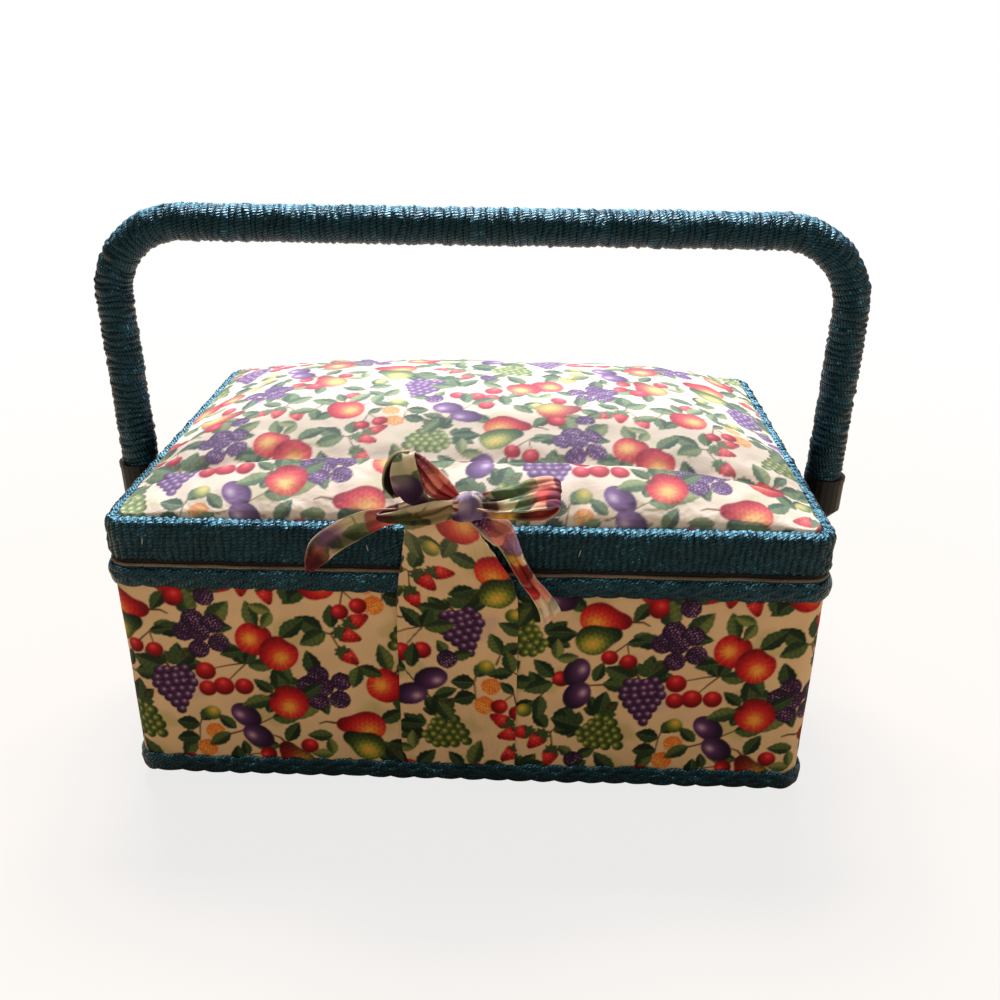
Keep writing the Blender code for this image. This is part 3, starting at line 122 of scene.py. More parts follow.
def ripple(across, along, scale, seed):
    """Smooth uneven field of about -1 to 1 made of a few crossed waves."""
    random = np.random.default_rng(seed)
    total = np.zeros(np.broadcast(across, along).shape)
    for _ in range(7):
        angle, phase = random.uniform(0, math.tau, 2)
        rate = math.tau / (scale * random.uniform(0.6, 1.7))
        total += np.sin(rate * (across * math.cos(angle) + along * math.sin(angle)) + phase)
    return total / 3.2


def mix(first, second, share):
    """Colours between two colours, one for each share."""
    share = clamp(np.asarray(share, float))[..., None]
    return np.asarray(first) * (1 - share) + np.asarray(second) * share


def ramp(stops, values):
    """Colours read from a list of (value, colour) stops."""
    places = [value for value, _ in stops]
    channels = [np.interp(values, places, [colour[index] for _, colour in stops]) for index in range(3)]
    return np.stack(channels, -1)


def blended_least(first, second, width):
    """Lesser of two distances, with a round join."""
    share = clamp(0.5 + 0.5 * (second - first) / width)
    return second * (1 - share) + first * share - width * share * (1 - share)


class PrintedCotton:
    """Colours of the fruit print at places on the flat cloth."""

    def __init__(self, across, along, fade=0.0):
        self.across = np.mod(across.ravel(), TILE_WIDTH)
        self.along = np.mod(along.ravel(), TILE_HEIGHT)
        self.colour = np.tile(np.array(GROUND, float), (self.across.size, 1))
        for washes in (True, False):
            for kind, x, y, angle, side in PRINT_LAYOUT:
                self.sprig(kind, x, y, math.radians(angle), side, washes)
        # A fade lightens every colour towards white; the lid's print gets it as painted light
        self.colour += (1 - self.colour) * fade

    def sprig(self, kind, x, y, angle, side, washes):
        """The washes, or the fruit and leaves, of one group, drawn only on the points near it."""
        du = np.mod(self.across - x + TILE_WIDTH / 2, TILE_WIDTH) - TILE_WIDTH / 2
        dv = np.mod(self.along - y + TILE_HEIGHT / 2, TILE_HEIGHT) - TILE_HEIGHT / 2
        near = np.nonzero(du * du + dv * dv < SPRIG_REACH ** 2)[0]
        if not near.size:
            return
        u, v = du[near], dv[near]
        turned_u = (u * math.cos(angle) + v * math.sin(angle)) * side
        turned_v = v * math.cos(angle) - u * math.sin(angle)
        self.near, self.u, self.v = near, turned_u, turned_v
        for motif, *values in SPRIGS[kind]:
            if (motif == "wash") == washes:
                getattr(self, motif)(*values)

    def local(self, x, y, turn, reach):
        """Points within reach of a motif, in the motif's own axes."""
        u, v = self.u - x, self.v - y
        found = np.nonzero((np.abs(u) < reach) & (np.abs(v) < reach))[0]
        turn = math.radians(turn)
        u, v = u[found], v[found]
        return found, u * math.cos(turn) + v * math.sin(turn), v * math.cos(turn) - u * math.sin(turn)

    def lay(self, found, colour, distance, edge=INK_EDGE, strength=1.0):
        """Inks colour where distance to the motif's outline is below zero."""
        cover = clamp(0.5 - distance / edge) * strength
        rows = self.near[found]
        self.colour[rows] += (colour - self.colour[rows]) * cover[:, None]

    def leaf(self, x, y, turn, length, width, tone):
        """Toothed leaf with a pale midrib, light on one side."""
        found, across, along = self.local(x, y, turn, length + 2)
        share = along / length
        inside = clamp(share)
        half = width / 2 * np.sin(math.pi * inside ** 0.85) ** 0.9 * (1 + 0.05 * np.sin(inside * 30))
        distance = np.where((share > 0) & (share < 1), np.abs(across) - half, OUTSIDE)
        veins = np.abs(np.mod(inside * 5.5 - np.abs(across) / width * 1.3, 1) - 0.5) * 2
        rim = np.abs(across) / (half + 0.2)
        light = tone + 0.24 * np.tanh(across / 0.9) + 0.16 * veins ** 3 - 0.20 * rim ** 2
        colour = ramp([(0, LEAF_DARK), (0.5, LEAF_MID), (1, LEAF_LIGHT)], light)
        colour = mix(colour, LEAF_LIGHT, clamp(1 - np.abs(across) / 0.34) * 0.55)
        self.lay(found, colour, distance)

    def vine_leaf(self, x, y, turn, length, tone=0.35):
        """Broad leaf of five lobes."""
        for spread, share in ((-78, 0.62), (78, 0.62), (-38, 0.86), (38, 0.86), (0, 1.0)):
            self.leaf(x, y, turn + spread, length * share, length * 0.62 * share, tone)

    def wash(self, x, y, radius, colour, strength=0.4):
        """Pale uneven patch of thin colour."""
        found, across, along = self.local(x, y, 0, radius * 1.5)
        angle = np.arctan2(across, along)
        reach = radius * (1 + 0.16 * np.sin(3 * angle + x) + 0.10 * np.sin(5 * angle + y))
        self.lay(found, np.array(colour), np.hypot(across, along) - reach, radius * 0.5, strength)

    def stroke(self, points, width):
        """Stem drawn through points, thinning towards its end."""
        points = np.array(points, float)
        middle = points.mean(0)
        reach = np.abs(points - middle).max() + 2
        found, across, along = self.local(middle[0], middle[1], 0, reach)
        best = np.full(found.size, OUTSIDE)
        steps = len(points) - 1
        for index, (start, end) in enumerate(zip(points[:-1] - middle, points[1:] - middle)):
            run = end - start
            share = (across - start[0]) * run[0] + (along - start[1]) * run[1]
            share = clamp(share / (run @ run))
            gap = np.hypot(across - start[0] - run[0] * share, along - start[1] - run[1] * share)
            best = np.minimum(best, gap - width / 2 * (1 - 0.5 * (index + share) / steps))
        self.lay(found, np.array(STEM), best)

    def tendril(self, x, y, size, side=1):
        """Curl of thin stem."""
        turns = np.linspace(0, 3.4 * math.pi, 22)
        radius = size * (1 - turns / 13)
        across = x + side * (radius * np.cos(turns) - size)
        self.stroke(np.stack([across, y + radius * np.sin(turns) + turns * 0.12], -1), 0.55)

    def apple(self, x, y, turn, radius, hot=(-0.25, -0.15)):
        """Streaked apple, gold in the middle of its light and red round it. An upright one has its stalk."""
        found, across, along = self.local(x, y, turn, radius * 1.25)
        angle = np.arctan2(across, along)
        reach = radius * (1 + 0.035 * np.cos(2 * angle) - 0.17 * np.exp(-(angle / 0.38) ** 2)
                          - 0.05 * np.exp(-((np.abs(angle) - math.pi) / 0.35) ** 2))
        size = np.hypot(across, along)
        heat = np.hypot(across / radius - hot[0], along / radius - hot[1])
        streaks = 0.08 * np.sin(angle * 19 + 2 * np.sin(angle * 5)) * clamp(size / radius)
        blotches = 0.07 * np.sin(across * 2.1 + 3 * np.sin(along * 1.3 + x)) * np.sin(along * 1.7 + y)
        colour = ramp([(0.0, GOLD), (0.26, (0.94, 0.66, 0.36)), (0.46, (0.88, 0.42, 0.29)), (0.74, RED),
                       (1.25, RED_DEEP)], heat + streaks + blotches)
        dip = np.hypot(across, (along - 0.78 * radius) * 1.6)
        colour = mix(colour, RED_DEEP, 0.75 * np.exp(-(dip / (0.2 * radius)) ** 2))
        self.lay(found, colour, size - reach)
        if turn == 0:
            self.stroke([(x + shift * radius, y + rise * radius) for shift, rise in STALK], 0.9)

    def pear(self, x, y, turn, radius, blush):
        """Pear, red on one side by its blush and green on the other."""
        found, across, along = self.local(x, y, turn, radius * 2.6)
        bulb = np.hypot(across, along) - radius
        neck = np.hypot(across - 0.10 * radius, along - 1.32 * radius) - 0.38 * radius
        distance = blended_least(bulb, neck, 0.9 * radius)
        light = np.hypot(across / radius + 0.25, (along / radius + 0.1) * 0.75)
        light = light + 0.06 * np.sin(across * 2.3 + 2 * np.sin(along * 1.9 + x))
        light = light + 0.05 * np.sin(along * 3.1 + y)
        green = ramp([(0, GOLD), (0.35, LIME), (0.75, PEAR_GREEN), (1.3, LEAF_DARK)], light)
        red = ramp([(0, GOLD), (0.35, ORANGE), (0.8, RED), (1.3, RED_DEEP)], light)
        side = clamp(0.5 + across / radius * 0.5 + (blush - 0.5) * 2)
        self.lay(found, green * (1 - side[:, None]) + red * side[:, None], distance)

    def ball(self, x, y, radius, deep, base, pale, squeeze=1.0, turn=0.0):
        """Round or oval fruit with a pale light on it and a dark rim."""
        found, across, along = self.local(x, y, turn, radius * 1.3)
        size = np.hypot(across / squeeze, along) / radius
        light = np.hypot(across / squeeze / radius + 0.3, along / radius - 0.32)
        colour = ramp([(0.05, pale), (0.45, base), (1.2, deep)], light)
        self.lay(found, colour, (size - 1) * radius)

    def bunch(self, x, y, turn, rows, radius, deep, base, pale):
        """Cluster of grapes in rows that narrow towards the tip."""
        cos, sin = math.cos(math.radians(turn)), math.sin(math.radians(turn))
        random = np.random.default_rng(int(x * 7 + y * 13) + 91)
        for row, count in enumerate(rows):
            for place in range(count):
                across = (place - (count - 1) / 2) * radius * 1.62 + random.uniform(-0.5, 0.5)
                along = -row * radius * 1.45 + random.uniform(-0.4, 0.4)
                self.ball(x + across * cos - along * sin, y + across * sin + along * cos,
                          radius * random.uniform(0.92, 1.08), deep, base, pale)

    def berry(self, x, y, radius, deep, base, pale):
        """Bramble fruit: a round head of small drupelets."""
        found, across, along = self.local(x, y, 0, radius * 1.2)
        self.lay(found, np.array(deep), np.hypot(across, along) - 0.92 * radius)
        pitch = radius * 0.30
        reach = pitch * 0.58
        row = np.round(along / (pitch * 0.87))
        shift = np.where(np.mod(row, 2) == 0, 0.0, pitch / 2)
        column = np.round((across - shift) / pitch)
        scatter = 12.9 * column + 78.2 * row + x * 3.7
        centre_x = column * pitch + shift + 0.16 * pitch * np.sin(scatter * 7.3)
        centre_y = row * pitch * 0.87 + 0.16 * pitch * np.cos(scatter * 5.1)
        gap = np.hypot(across - centre_x, along - centre_y) / reach
        light = np.hypot(across - centre_x + 0.2 * pitch, along - centre_y - 0.2 * pitch) / reach
        colour = ramp([(0, pale), (0.50, base), (1.0, deep)], light + 0.18 * np.sin(scatter * 3.3))
        rim = np.hypot(across - 0.25 * radius, along + 0.25 * radius) / radius
        colour = mix(colour, deep, 0.45 * rim ** 3)
        inside = np.hypot(centre_x, centre_y) < radius * 0.88
        self.lay(found, colour, np.where(inside, (gap - 1) * pitch * 0.58, OUTSIDE))

    def strawberry(self, x, y, turn, length):
        """Seeded strawberry with its tip at x and y, and a cap of small leaves."""
        found, across, along = self.local(x, y, turn, length * 1.2)
        share = clamp(along / length)
        shoulder = np.sqrt(clamp(1 - clamp((share - 0.62) / 0.38) ** 2))
        half = 0.47 * length * share ** 0.55 * shoulder
        light = np.hypot(across / length + 0.12, share - 0.6)
        colour = ramp([(0, ROSE), (0.25, RED), (0.6, RED_DEEP)], light)
        pitch = 0.19 * length
        row = np.round(along / pitch)
        shift = np.where(np.mod(row, 2) == 0, 0.0, pitch / 2)
        seed = np.hypot(np.mod(across - shift + pitch / 2, pitch) - pitch / 2, along - row * pitch)
        colour = mix(colour, GOLD, clamp(0.75 - seed / 0.55))
        self.lay(found, colour, np.where((along > 0) & (along < length), np.abs(across) - half, OUTSIDE))
        tip = math.radians(turn)
        cap_x, cap_y = x - 0.92 * length * math.sin(tip), y + 0.92 * length * math.cos(tip)
        for spread in (-105, -60, -20, 20, 60, 105):
            self.leaf(cap_x, cap_y, turn + spread, 0.42 * length, 0.22 * length, 0.35)


# An apple's stalk, in shares of its radius
STALK = ((0, 0.74), (0.05, 1.0), (0.15, 1.28))

# Inks of a fruit: its dark rim, its own colour and its light
PURPLES = (PURPLE_DEEP, PURPLE, LILAC)
GREENS = (GRAPE_DEEP, GRAPE, GRAPE_PALE)
REDS = (RED_DEEP, RED, ROSE)
GOLDS = (ORANGE, GOLD, (0.98, 0.90, 0.60))
LIMES = (PEAR_GREEN, LIME, GOLD)

PALE_LEAF = (0.74, 0.76, 0.56)

# Each motif of a sprig: its kind, its place from the sprig's middle, its turn in degrees if it has one, its
# sizes, and its tone, inks or blush. A stroke has its points and its width.
SPRIGS = {
    "apple": [
        ("wash", 4, 7, 7, PALE_LEAF), ("leaf", 3, 6, -62, 14, 7.2, 0.40),
        ("leaf", -2, 7, 48, 14, 7.0, 0.60), ("leaf", 5, -3, -115, 12, 6.2, 0.30),
        ("leaf", 1, 8, -10, 10, 5.2, 0.25), ("apple", 0, 0, 0, 8.6),
    ],
    "apples": [
        ("wash", -6, 8, 7, PALE_LEAF), ("leaf", -4, 6, 30, 14, 7.4, 0.35),
        ("leaf", 7, 7, -30, 13, 6.6, 0.55), ("leaf", -6, -7, 130, 11, 6, 0.45),
        ("leaf", 9, -6, -120, 10, 5.4, 0.30), ("apple", 6, 1.5, 0, 8.0, (0.2, -0.1)),
        ("apple", -5.5, -2, 18, 8.4),
    ],
    "pears": [
        ("wash", 9, 7, 8, PALE_LEAF), ("leaf", 10, 5, -70, 13, 6.6, 0.35),
        ("leaf", 11, -6, -115, 11, 6, 0.2), ("leaf", -12, 2, 80, 11, 6, 0.5),
        ("stroke", [(-9, 8), (-13, 9.5), (-16, 9)], 0.9), ("pear", 4, 3.8, 78, 7.8, 0.95),
        ("pear", 2, -6.4, 52, 7.2, 0.1),
    ],
    "pear": [
        ("leaf", 3, 9, -60, 13, 6.6, 0.45), ("leaf", -1, 10, 55, 12, 6.4, 0.3),
        ("leaf", 5, -8, -150, 11, 6, 0.35), ("stroke", [(0, 10), (0.8, 13), (2.6, 15)], 0.9),
        ("pear", 0, -3, 0, 7.8, 0.55), ("ball", 9, -6, 4.3, *REDS), ("ball", -9, 4, 3.8, *REDS),
    ],
    "grapes": [
        ("wash", -7, -4, 6, LILAC, 0.3), ("vine_leaf", -3, 8, 62, 13), ("vine_leaf", 4, 9, -50, 12, 0.42),
        ("tendril", -7, 11, 2.6), ("stroke", [(0, 7), (1, 11), (3.4, 13)], 1.0),
        ("bunch", 0, 6, 8, (4, 5, 5, 4, 3, 2, 1), 2.3, *PURPLES),
    ],
    "green_grapes": [
        ("wash", 8, -4, 6, PALE_LEAF), ("vine_leaf", -6, 8, 42, 12, 0.25),
        ("vine_leaf", 5, 9, -42, 12, 0.3), ("tendril", 9, 9, 2.4, -1),
        ("bunch", -1, 6, 18, (4, 5, 5, 4, 3, 1), 2.25, *GREENS),
    ],
    "brambles": [
        ("leaf", 4, 4, -58, 16, 9.4, 0.55), ("leaf", 3, -3, -112, 15, 8.6, 0.65),
        ("leaf", -3, 5, 20, 13, 7.5, 0.25), ("leaf", 2, -2, -165, 12, 6.4, 0.30),
        ("berry", -10, -3, 4.7, *PURPLES), ("berry", -4, -10, 4.8, *PURPLES),
        ("berry", -4, 5, 4.9, *PURPLES), ("berry", 3, 3, 5.2, *PURPLES), ("berry", 4, -5, 5.0, *PURPLES),
        ("berry", -2, -1, 4.9, *PURPLES),
    ],
    "strawberries": [
        ("stroke", [(10, 11), (5, 5), (0, 3), (-6, 4)], 0.7), ("stroke", [(5, 5), (7, -2), (6, -6)], 0.6),
        ("leaf", 7, 8, -20, 13, 8.5, 0.35), ("leaf", 6, 7, -80, 13, 7.6, 0.5),
        ("leaf", 3, 7, 40, 11, 6.4, 0.3), ("strawberry", -13, 2, -80, 9.4),
        ("strawberry", -3, -5, -30, 9.8), ("strawberry", 6, -13, -8, 9.2),
    ],
    "cherries": [
        ("stroke", [(5, 10), (0, 5), (-6, -2)], 0.6), ("stroke", [(5, 10), (4, 4), (3, -4)], 0.6),
        ("leaf", 5, 9, 70, 14, 6.4, 0.35), ("leaf", 6, 9, -50, 13, 6.4, 0.5),
        ("leaf", 5, 9, 10, 11, 5.6, 0.25), ("ball", -7, -4, 4.3, *REDS), ("ball", 3, -6, 4.4, *REDS),
        ("ball", 10, -1, 4.0, *REDS), ("ball", -2, -11, 3.8, *REDS),
    ],
    "plums": [
        ("wash", 7, 8, 6, PALE_LEAF), ("stroke", [(-10, -9), (-4, -5), (4, 2), (10, 8)], 0.7),
        ("leaf", 8, 6, -70, 13, 7.2, 0.45), ("leaf", 6, 8, -5, 12, 6.6, 0.3),
        ("leaf", -8, -7, 140, 12, 6, 0.5), ("leaf", -6, -4, 60, 10, 5.4, 0.35),
        ("ball", -3, 4, 7.2, *PURPLES, 0.74, 62), ("ball", 4, -5, 7.2, *PURPLES, 0.76, 66),
    ],
    "gold": [
        ("stroke", [(-6, 10), (-1, 4), (3, -4)], 0.6), ("leaf", -1, 4, -60, 10, 7.4, 0.15),
        ("leaf", 2, -2, -75, 10, 7.8, 0.15), ("leaf", -3, 6, 60, 9, 6, 0.3), ("berry", -6, -1, 4.3, *GOLDS),
        ("berry", 1, -8, 4.6, *GOLDS), ("ball", -9, 8, 3.6, *LIMES),
    ],
    "leaves": [
        ("stroke", [(-7, -6), (-1, -1), (5, 5)], 0.7), ("leaf", -1, -1, 60, 12, 6.6, 0.3),
        ("leaf", 1, 1, -80, 12, 6.4, 0.45), ("leaf", 4, 4, -20, 10, 5.8, 0.25),
        ("ball", -7, -8, 3.8, *REDS), ("ball", 8, 8.5, 3.4, *LIMES),
    ],
    "leaf_pair": [
        ("leaf", 0, -1, 38, 11, 6.0, 0.35), ("leaf", 0, -1, -44, 11, 6.4, 0.55),
        ("stroke", [(0, -6), (0, 0)], 0.7),
    ],
    "berry_pair": [
        ("stroke", [(-4, -3), (0, 5), (4, -2)], 0.6), ("leaf", 0, 5, -60, 8, 4.4, 0.3),
        ("ball", -4, -4, 3.5, *REDS), ("ball", 4, -3, 3.6, *REDS),
    ],
    "small_bramble": [
        ("leaf", 1, 1, -50, 9, 5.4, 0.4), ("leaf", -1, 1, 60, 8, 5.0, 0.6), ("berry", 0, -1, 4.6, *PURPLES),
    ],
    "pale_pair": [
        ("leaf", 0, -1, 30, 10, 5.2, 0.85), ("leaf", 0, -1, -50, 9, 5.0, 0.75),
    ],
}

# Kind of sprig, place on the repeat, turn in degrees, and 1, or -1 for its mirror image
PRINT_LAYOUT = [
    ("leaves", 12, 9, 15, 1), ("grapes", 38, 14, -25, 1), ("cherries", 63, 7, 30, -1),
    ("apples", 90, 14, 8, 1), ("brambles", 120, 10, -20, 1), ("pear", 144, 22, 25, -1),
    ("pears", 21, 36, 12, 1), ("strawberries", 52, 36, -8, 1), ("green_grapes", 78, 40, 30, 1),
    ("gold", 104, 35, 20, -1), ("plums", 126, 40, -15, 1), ("brambles", 4, 60, 35, -1),
    ("apple", 33, 62, -30, 1), ("leaves", 54, 60, 95, -1), ("plums", 68, 66, 40, -1),
    ("grapes", 96, 61, 15, -1), ("cherries", 117, 66, -35, 1), ("apple", 143, 52, 60, 1),
    ("strawberries", 18, 86, 40, -1), ("green_grapes", 46, 86, -40, -1), ("pears", 78, 92, -22, -1),
    ("brambles", 108, 88, 70, 1), ("apples", 136, 80, -18, -1), ("apple", 6, 111, 10, -1),
    ("gold", 32, 108, -30, 1), ("plums", 55, 110, 10, 1), ("leaves", 79, 116, -50, 1),
    ("pear", 101, 113, -65, 1), ("strawberries", 128, 109, 25, 1), ("leaf_pair", 22, 1, 20, 1),
    ("small_bramble", 68, 27, -10, 1), ("berry_pair", 18, 102, 15, 1), ("pale_pair", 8, 26, 60, 1),
    ("small_bramble", 44, 124, 30, -1), ("leaf_pair", 67, 18, -80, 1), ("pale_pair", 92, 126, 10, 1),
    ("berry_pair", 86, 81, -20, 1), ("leaf_pair", 144, 110, 150, 1), ("pale_pair", 60, 78, -30, 1),
    ("berry_pair", 128, 22, 70, 1), ("leaf_pair", 22, 70, -150, 1), ("small_bramble", 112, 104, 0, 1),
    ("pale_pair", 138, 96, 100, -1), ("leaf_pair", 18, 118, -60, -1),
]


def to_linear(colour):
    colour = clamp(colour)
    return np.where(colour <= 0.04045, colour / 12.92, ((colour + 0.055) / 1.055) ** 2.4)


def srgb(red, green, blue):
    """Blender colour of a written colour of 0 to 255."""
    return (*to_linear(np.array([red, green, blue]) / 255).tolist(), 1.0)


# Meshes

def add_object(name, data):
    made = bpy.data.objects.new(name, data)
    bpy.context.scene.collection.objects.link(made)
    return made


def dress(piece, body, slot, *node_names):
    """Says which body the piece moves with and which solids it takes over. Its slot is not used."""
    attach(piece, body)
    if node_names:
        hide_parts(*node_names)


def unit(vectors):
    return vectors / np.maximum(np.linalg.norm(vectors, axis=-1, keepdims=True), 1e-9)


def run_along(line):
    """Distance along a flat line at each of its points."""
    return np.concatenate([[0], np.cumsum(np.hypot(*np.diff(line, axis=0).T))])


def corner_reach(y, half, corner):
    """Half width of a rectangle with round corners, at y from its middle."""
    into_corner = np.clip(np.abs(y) - (half[1] - corner), 0, None)
    return half[0] - corner + np.sqrt(np.clip(corner ** 2 - into_corner ** 2, 0, None))


def round_angles(count):
    return math.tau * np.arange(count) / count


def set_attribute(mesh, name, kind, field, values):
    """Numbers or colours at the mesh's points, for its material to read."""
    attribute = mesh.attributes.new(name, kind, "POINT")
    attribute.data.foreach_set(field, np.ascontiguousarray(values, np.float32).ravel())


def cells(index):
    """Point numbers at the corners of each cell of a grid."""
    return np.stack([index[:-1, :-1], index[1:, :-1], index[1:, 1:], index[:-1, 1:]], -1)


def folded_map(rows, columns, folds):
    """Corner places on the bake's image of a grid of quads, its length folded into rows of the image."""
    i, j = grid(np.arange(rows), np.arange(columns))
    fold_length = math.ceil(rows / folds)
    lane = i // fold_length
    start = (i - lane * fold_length) / fold_length
    corners = []
    for step_i, step_j in ((0, 0), (1, 0), (1, 1), (0, 1)):
        along = 0.01 + 0.98 * (start + step_i / fold_length)
        across = (lane + 0.02 + 0.96 * (j + step_j) / columns) / folds
        corners.append(np.stack([along, across], -1))
    return np.stack(corners, 2).reshape(-1, 2)


def end_cap(ring, is_first):
    """Quads that close the end of a tube, and their corner places on the bake's image."""
    half = len(ring) // 2
    front, back = ring[:half], ring[half:2 * half][::-1]
    cap = np.stack([front[:-1], front[1:], back[1:], back[:-1]], -1)
    edge = 0.002 if is_first else 0.998
    spread = np.linspace(0.1, 0.4, half)
    sides = ((edge, spread[:-1]), (edge, spread[1:]), (edge + 0.002, spread[1:]), (edge + 0.002, spread[:-1]))
    places = np.stack([np.stack([np.full(half - 1, level), along], -1) for level, along in sides], 1)
    return cap if is_first else cap[:, ::-1], places.reshape(-1, 2)


def grid_object(name, points, material, close_rows=False, close_columns=False, cap_ends=False, flip=False,
                folds=1, print_colour=None, cord=None):
    """Smooth object over a grid of points, joined up along either way if it is closed. Folds are the lanes
    that its length takes on the bake's image."""
    rows, columns = points.shape[:2]
    index = np.arange(rows * columns).reshape(rows, columns)
    if close_rows:
        index = np.vstack([index, index[:1]])
    if close_columns:
        index = np.hstack([index, index[:, :1]])
    quads = cells(index)
    places = folded_map(*quads.shape[:2], folds)
    faces = quads.reshape(-1, 4)
    if cap_ends:
        for row in (0, rows - 1):
            cap, cap_places = end_cap(index[row, :columns], row == 0)
            faces = np.vstack([faces, cap])
            places = np.vstack([places, cap_places])
    if flip:
        faces = faces[:, ::-1]
        places = places.reshape(-1, 4, 2)[:, ::-1].reshape(-1, 2)
    mesh = bpy.data.meshes.new(name)
    mesh.from_pydata((points.reshape(-1, 3) * MM).tolist(), [], faces.tolist())
    mesh.shade_smooth()
    layer = mesh.uv_layers.new(name="OFBake")
    layer.uv.foreach_set("vector", places.astype(np.float32).ravel())
    if print_colour is not None:
        colour = to_linear(print_colour).reshape(-1, 3)
        colour = np.hstack([colour, np.ones((len(colour), 1))])
        set_attribute(mesh, "print", "FLOAT_COLOR", "color", colour)
    if cord is not None:
        set_attribute(mesh, "cord", "FLOAT_VECTOR", "vector", cord)
    mesh.materials.append(MATERIALS[material])
    return add_object(name, mesh)


class Track:
    """Path round a rectangle with round corners, by distance from the middle of its front."""

    def __init__(self, half, radius):
        corner_steps = 16
        points, angles = [], []
        for side_x, side_y, start in ((1, -1, -90), (1, 1, 0), (-1, 1, 90), (-1, -1, 180)):
            for step in range(corner_steps + 1):
                angle = math.radians(start + 90 * step / corner_steps)
                points.append((side_x * (half[0] - radius) + radius * math.cos(angle),
                               side_y * (half[1] - radius) + radius * math.sin(angle)))
                angles.append(angle)
        front = (0.0, -half[1])
        self.points = np.array([front, *points, front])
        self.angles = np.array([-math.pi / 2, *angles, 1.5 * math.pi])
        self.lengths = run_along(self.points)
        self.total = self.lengths[-1]

    def steps(self, count):
        """Distances all round, evenly spaced."""
        return np.linspace(0, self.total, count, endpoint=False)

    def at(self, distance):
        """Places on the path and outward directions, as two arrays with x and y last."""
        distance = np.mod(distance, self.total)
        place = np.stack([np.interp(distance, self.lengths, self.points[:, axis]) for axis in (0, 1)], -1)
        angle = np.interp(distance, self.lengths, self.angles)
        place[..., 1] += CENTRE_Y
        return place, np.stack([np.cos(angle), np.sin(angle)], -1)

    def shell(self, distance, reach, level):
        """Points at a reach outside the path and at a level."""
        place, out = self.at(distance)
        return np.concatenate([place + out * reach[..., None], level[..., None]], -1)

    def ring(self, distance, radius=150):
        """The path laid on a circle, so that an uneven field over it has no seam."""
        turn = math.tau * distance / self.total
        return np.cos(turn) * radius, np.sin(turn) * radius


# Materials

MATERIALS = {}

# One turn of the fibres in a strand of cord
CORD_TWIST = 1.5


class Shading:
    """Nodes of a material or of the world. An input is given a number, a colour or another node's output."""

    def __init__(self, owner):
        owner.use_nodes = True
        self.nodes, self.links = owner.node_tree.nodes, owner.node_tree.links

    def feed(self, made, inputs):
        for key, value in inputs.items():
            if isinstance(value, bpy.types.NodeSocket):
                self.links.new(value, made.inputs[key])
            else:
                made.inputs[key].default_value = value

    def add(self, kind, inputs=None, **settings):
        """Outputs of a new node."""
        made = self.nodes.new("ShaderNode" + kind)
        for key, value in settings.items():
            setattr(made, key, value)
        self.feed(made, inputs or {})
        return made.outputs

    def math(self, operation, *values):
        return self.add("Math", dict(enumerate(values)), operation=operation)[0]

    def vector(self, operation, inputs):
        return self.add("VectorMath", inputs, operation=operation)[0]

    def spread(self, value, low, high):
        """Value of 0 to 1 spread from low to high."""
        return self.add("MapRange", {"Value": value, "To Min": low, "To Max": high})[0]

    def noise(self, vector, scale, detail, roughness=0.55):
        return self.add("TexNoise", {"Vector": vector, "Scale": scale, "Detail": detail,
                                     "Roughness": roughness})["Fac"]

    def bump(self, height, distance, strength):
        return self.add("Bump", {"Height": height, "Distance": distance, "Strength": strength})["Normal"]

    def ramp(self, value, stops):
        made = self.nodes.new("ShaderNodeValToRGB")
        while len(made.color_ramp.elements) < len(stops):
            made.color_ramp.elements.new(0.5)
        for element, (place, colour) in zip(made.color_ramp.elements, stops):
            element.position = place
            element.color = colour
        self.feed(made, {"Fac": value})
        return made.outputs["Color"]

    def weave(self, place, pitch):
        """Height of a plain weave of threads of that pitch, in metres, over object coordinates."""
        rate = math.tau / pitch
        axes = self.add("SeparateXYZ", {0: place})
        waves = [self.math("SINE", self.math("MULTIPLY", axis, rate)) for axis in axes]
        crossed = [self.math("MULTIPLY", waves[one], waves[other]) for one, other in ((0, 2), (0, 1), (1, 2))]
        return self.math("ADD", crossed[0], self.math("ADD", crossed[1], crossed[2]))


def new_material(name):
    material = MATERIALS[name] = bpy.data.materials.new(name)
    shading = Shading(material)
    return shading, shading.nodes["Principled BSDF"]


def printed_cloth(name, tint, depth):
    """Cotton with the print from the mesh's colours, a plain weave and a soft sheen. A warm tint and a depth
    above 1 make a darker copy of it: painted shade.
    """
    shading, shader = new_material(name)
    place = shading.add("TexCoord")["Object"]
    weave = shading.weave(place, 0.00055)
    shade = shading.spread(shading.noise(place, 55.0, 4.0), 0.86, 1.10)
    thread = shading.math("ADD", shading.math("MULTIPLY", weave, 0.035), shade)
    inks = shading.add("Attribute", attribute_name="print")["Color"]
    toned = shading.vector("SCALE", {0: inks, "Scale": thread})
    tinted = shading.vector("MULTIPLY", {0: toned, 1: tint})
    shading.feed(shader, {
        "Base Color": shading.add("Gamma", {"Color": tinted, "Gamma": depth})[0],
        "Roughness": 0.72, "Specular IOR Level": 0.16, "Sheen Weight": 0.05, "Sheen Roughness": 0.5,
        "Normal": shading.bump(weave, 0.00006, 0.5),
    })


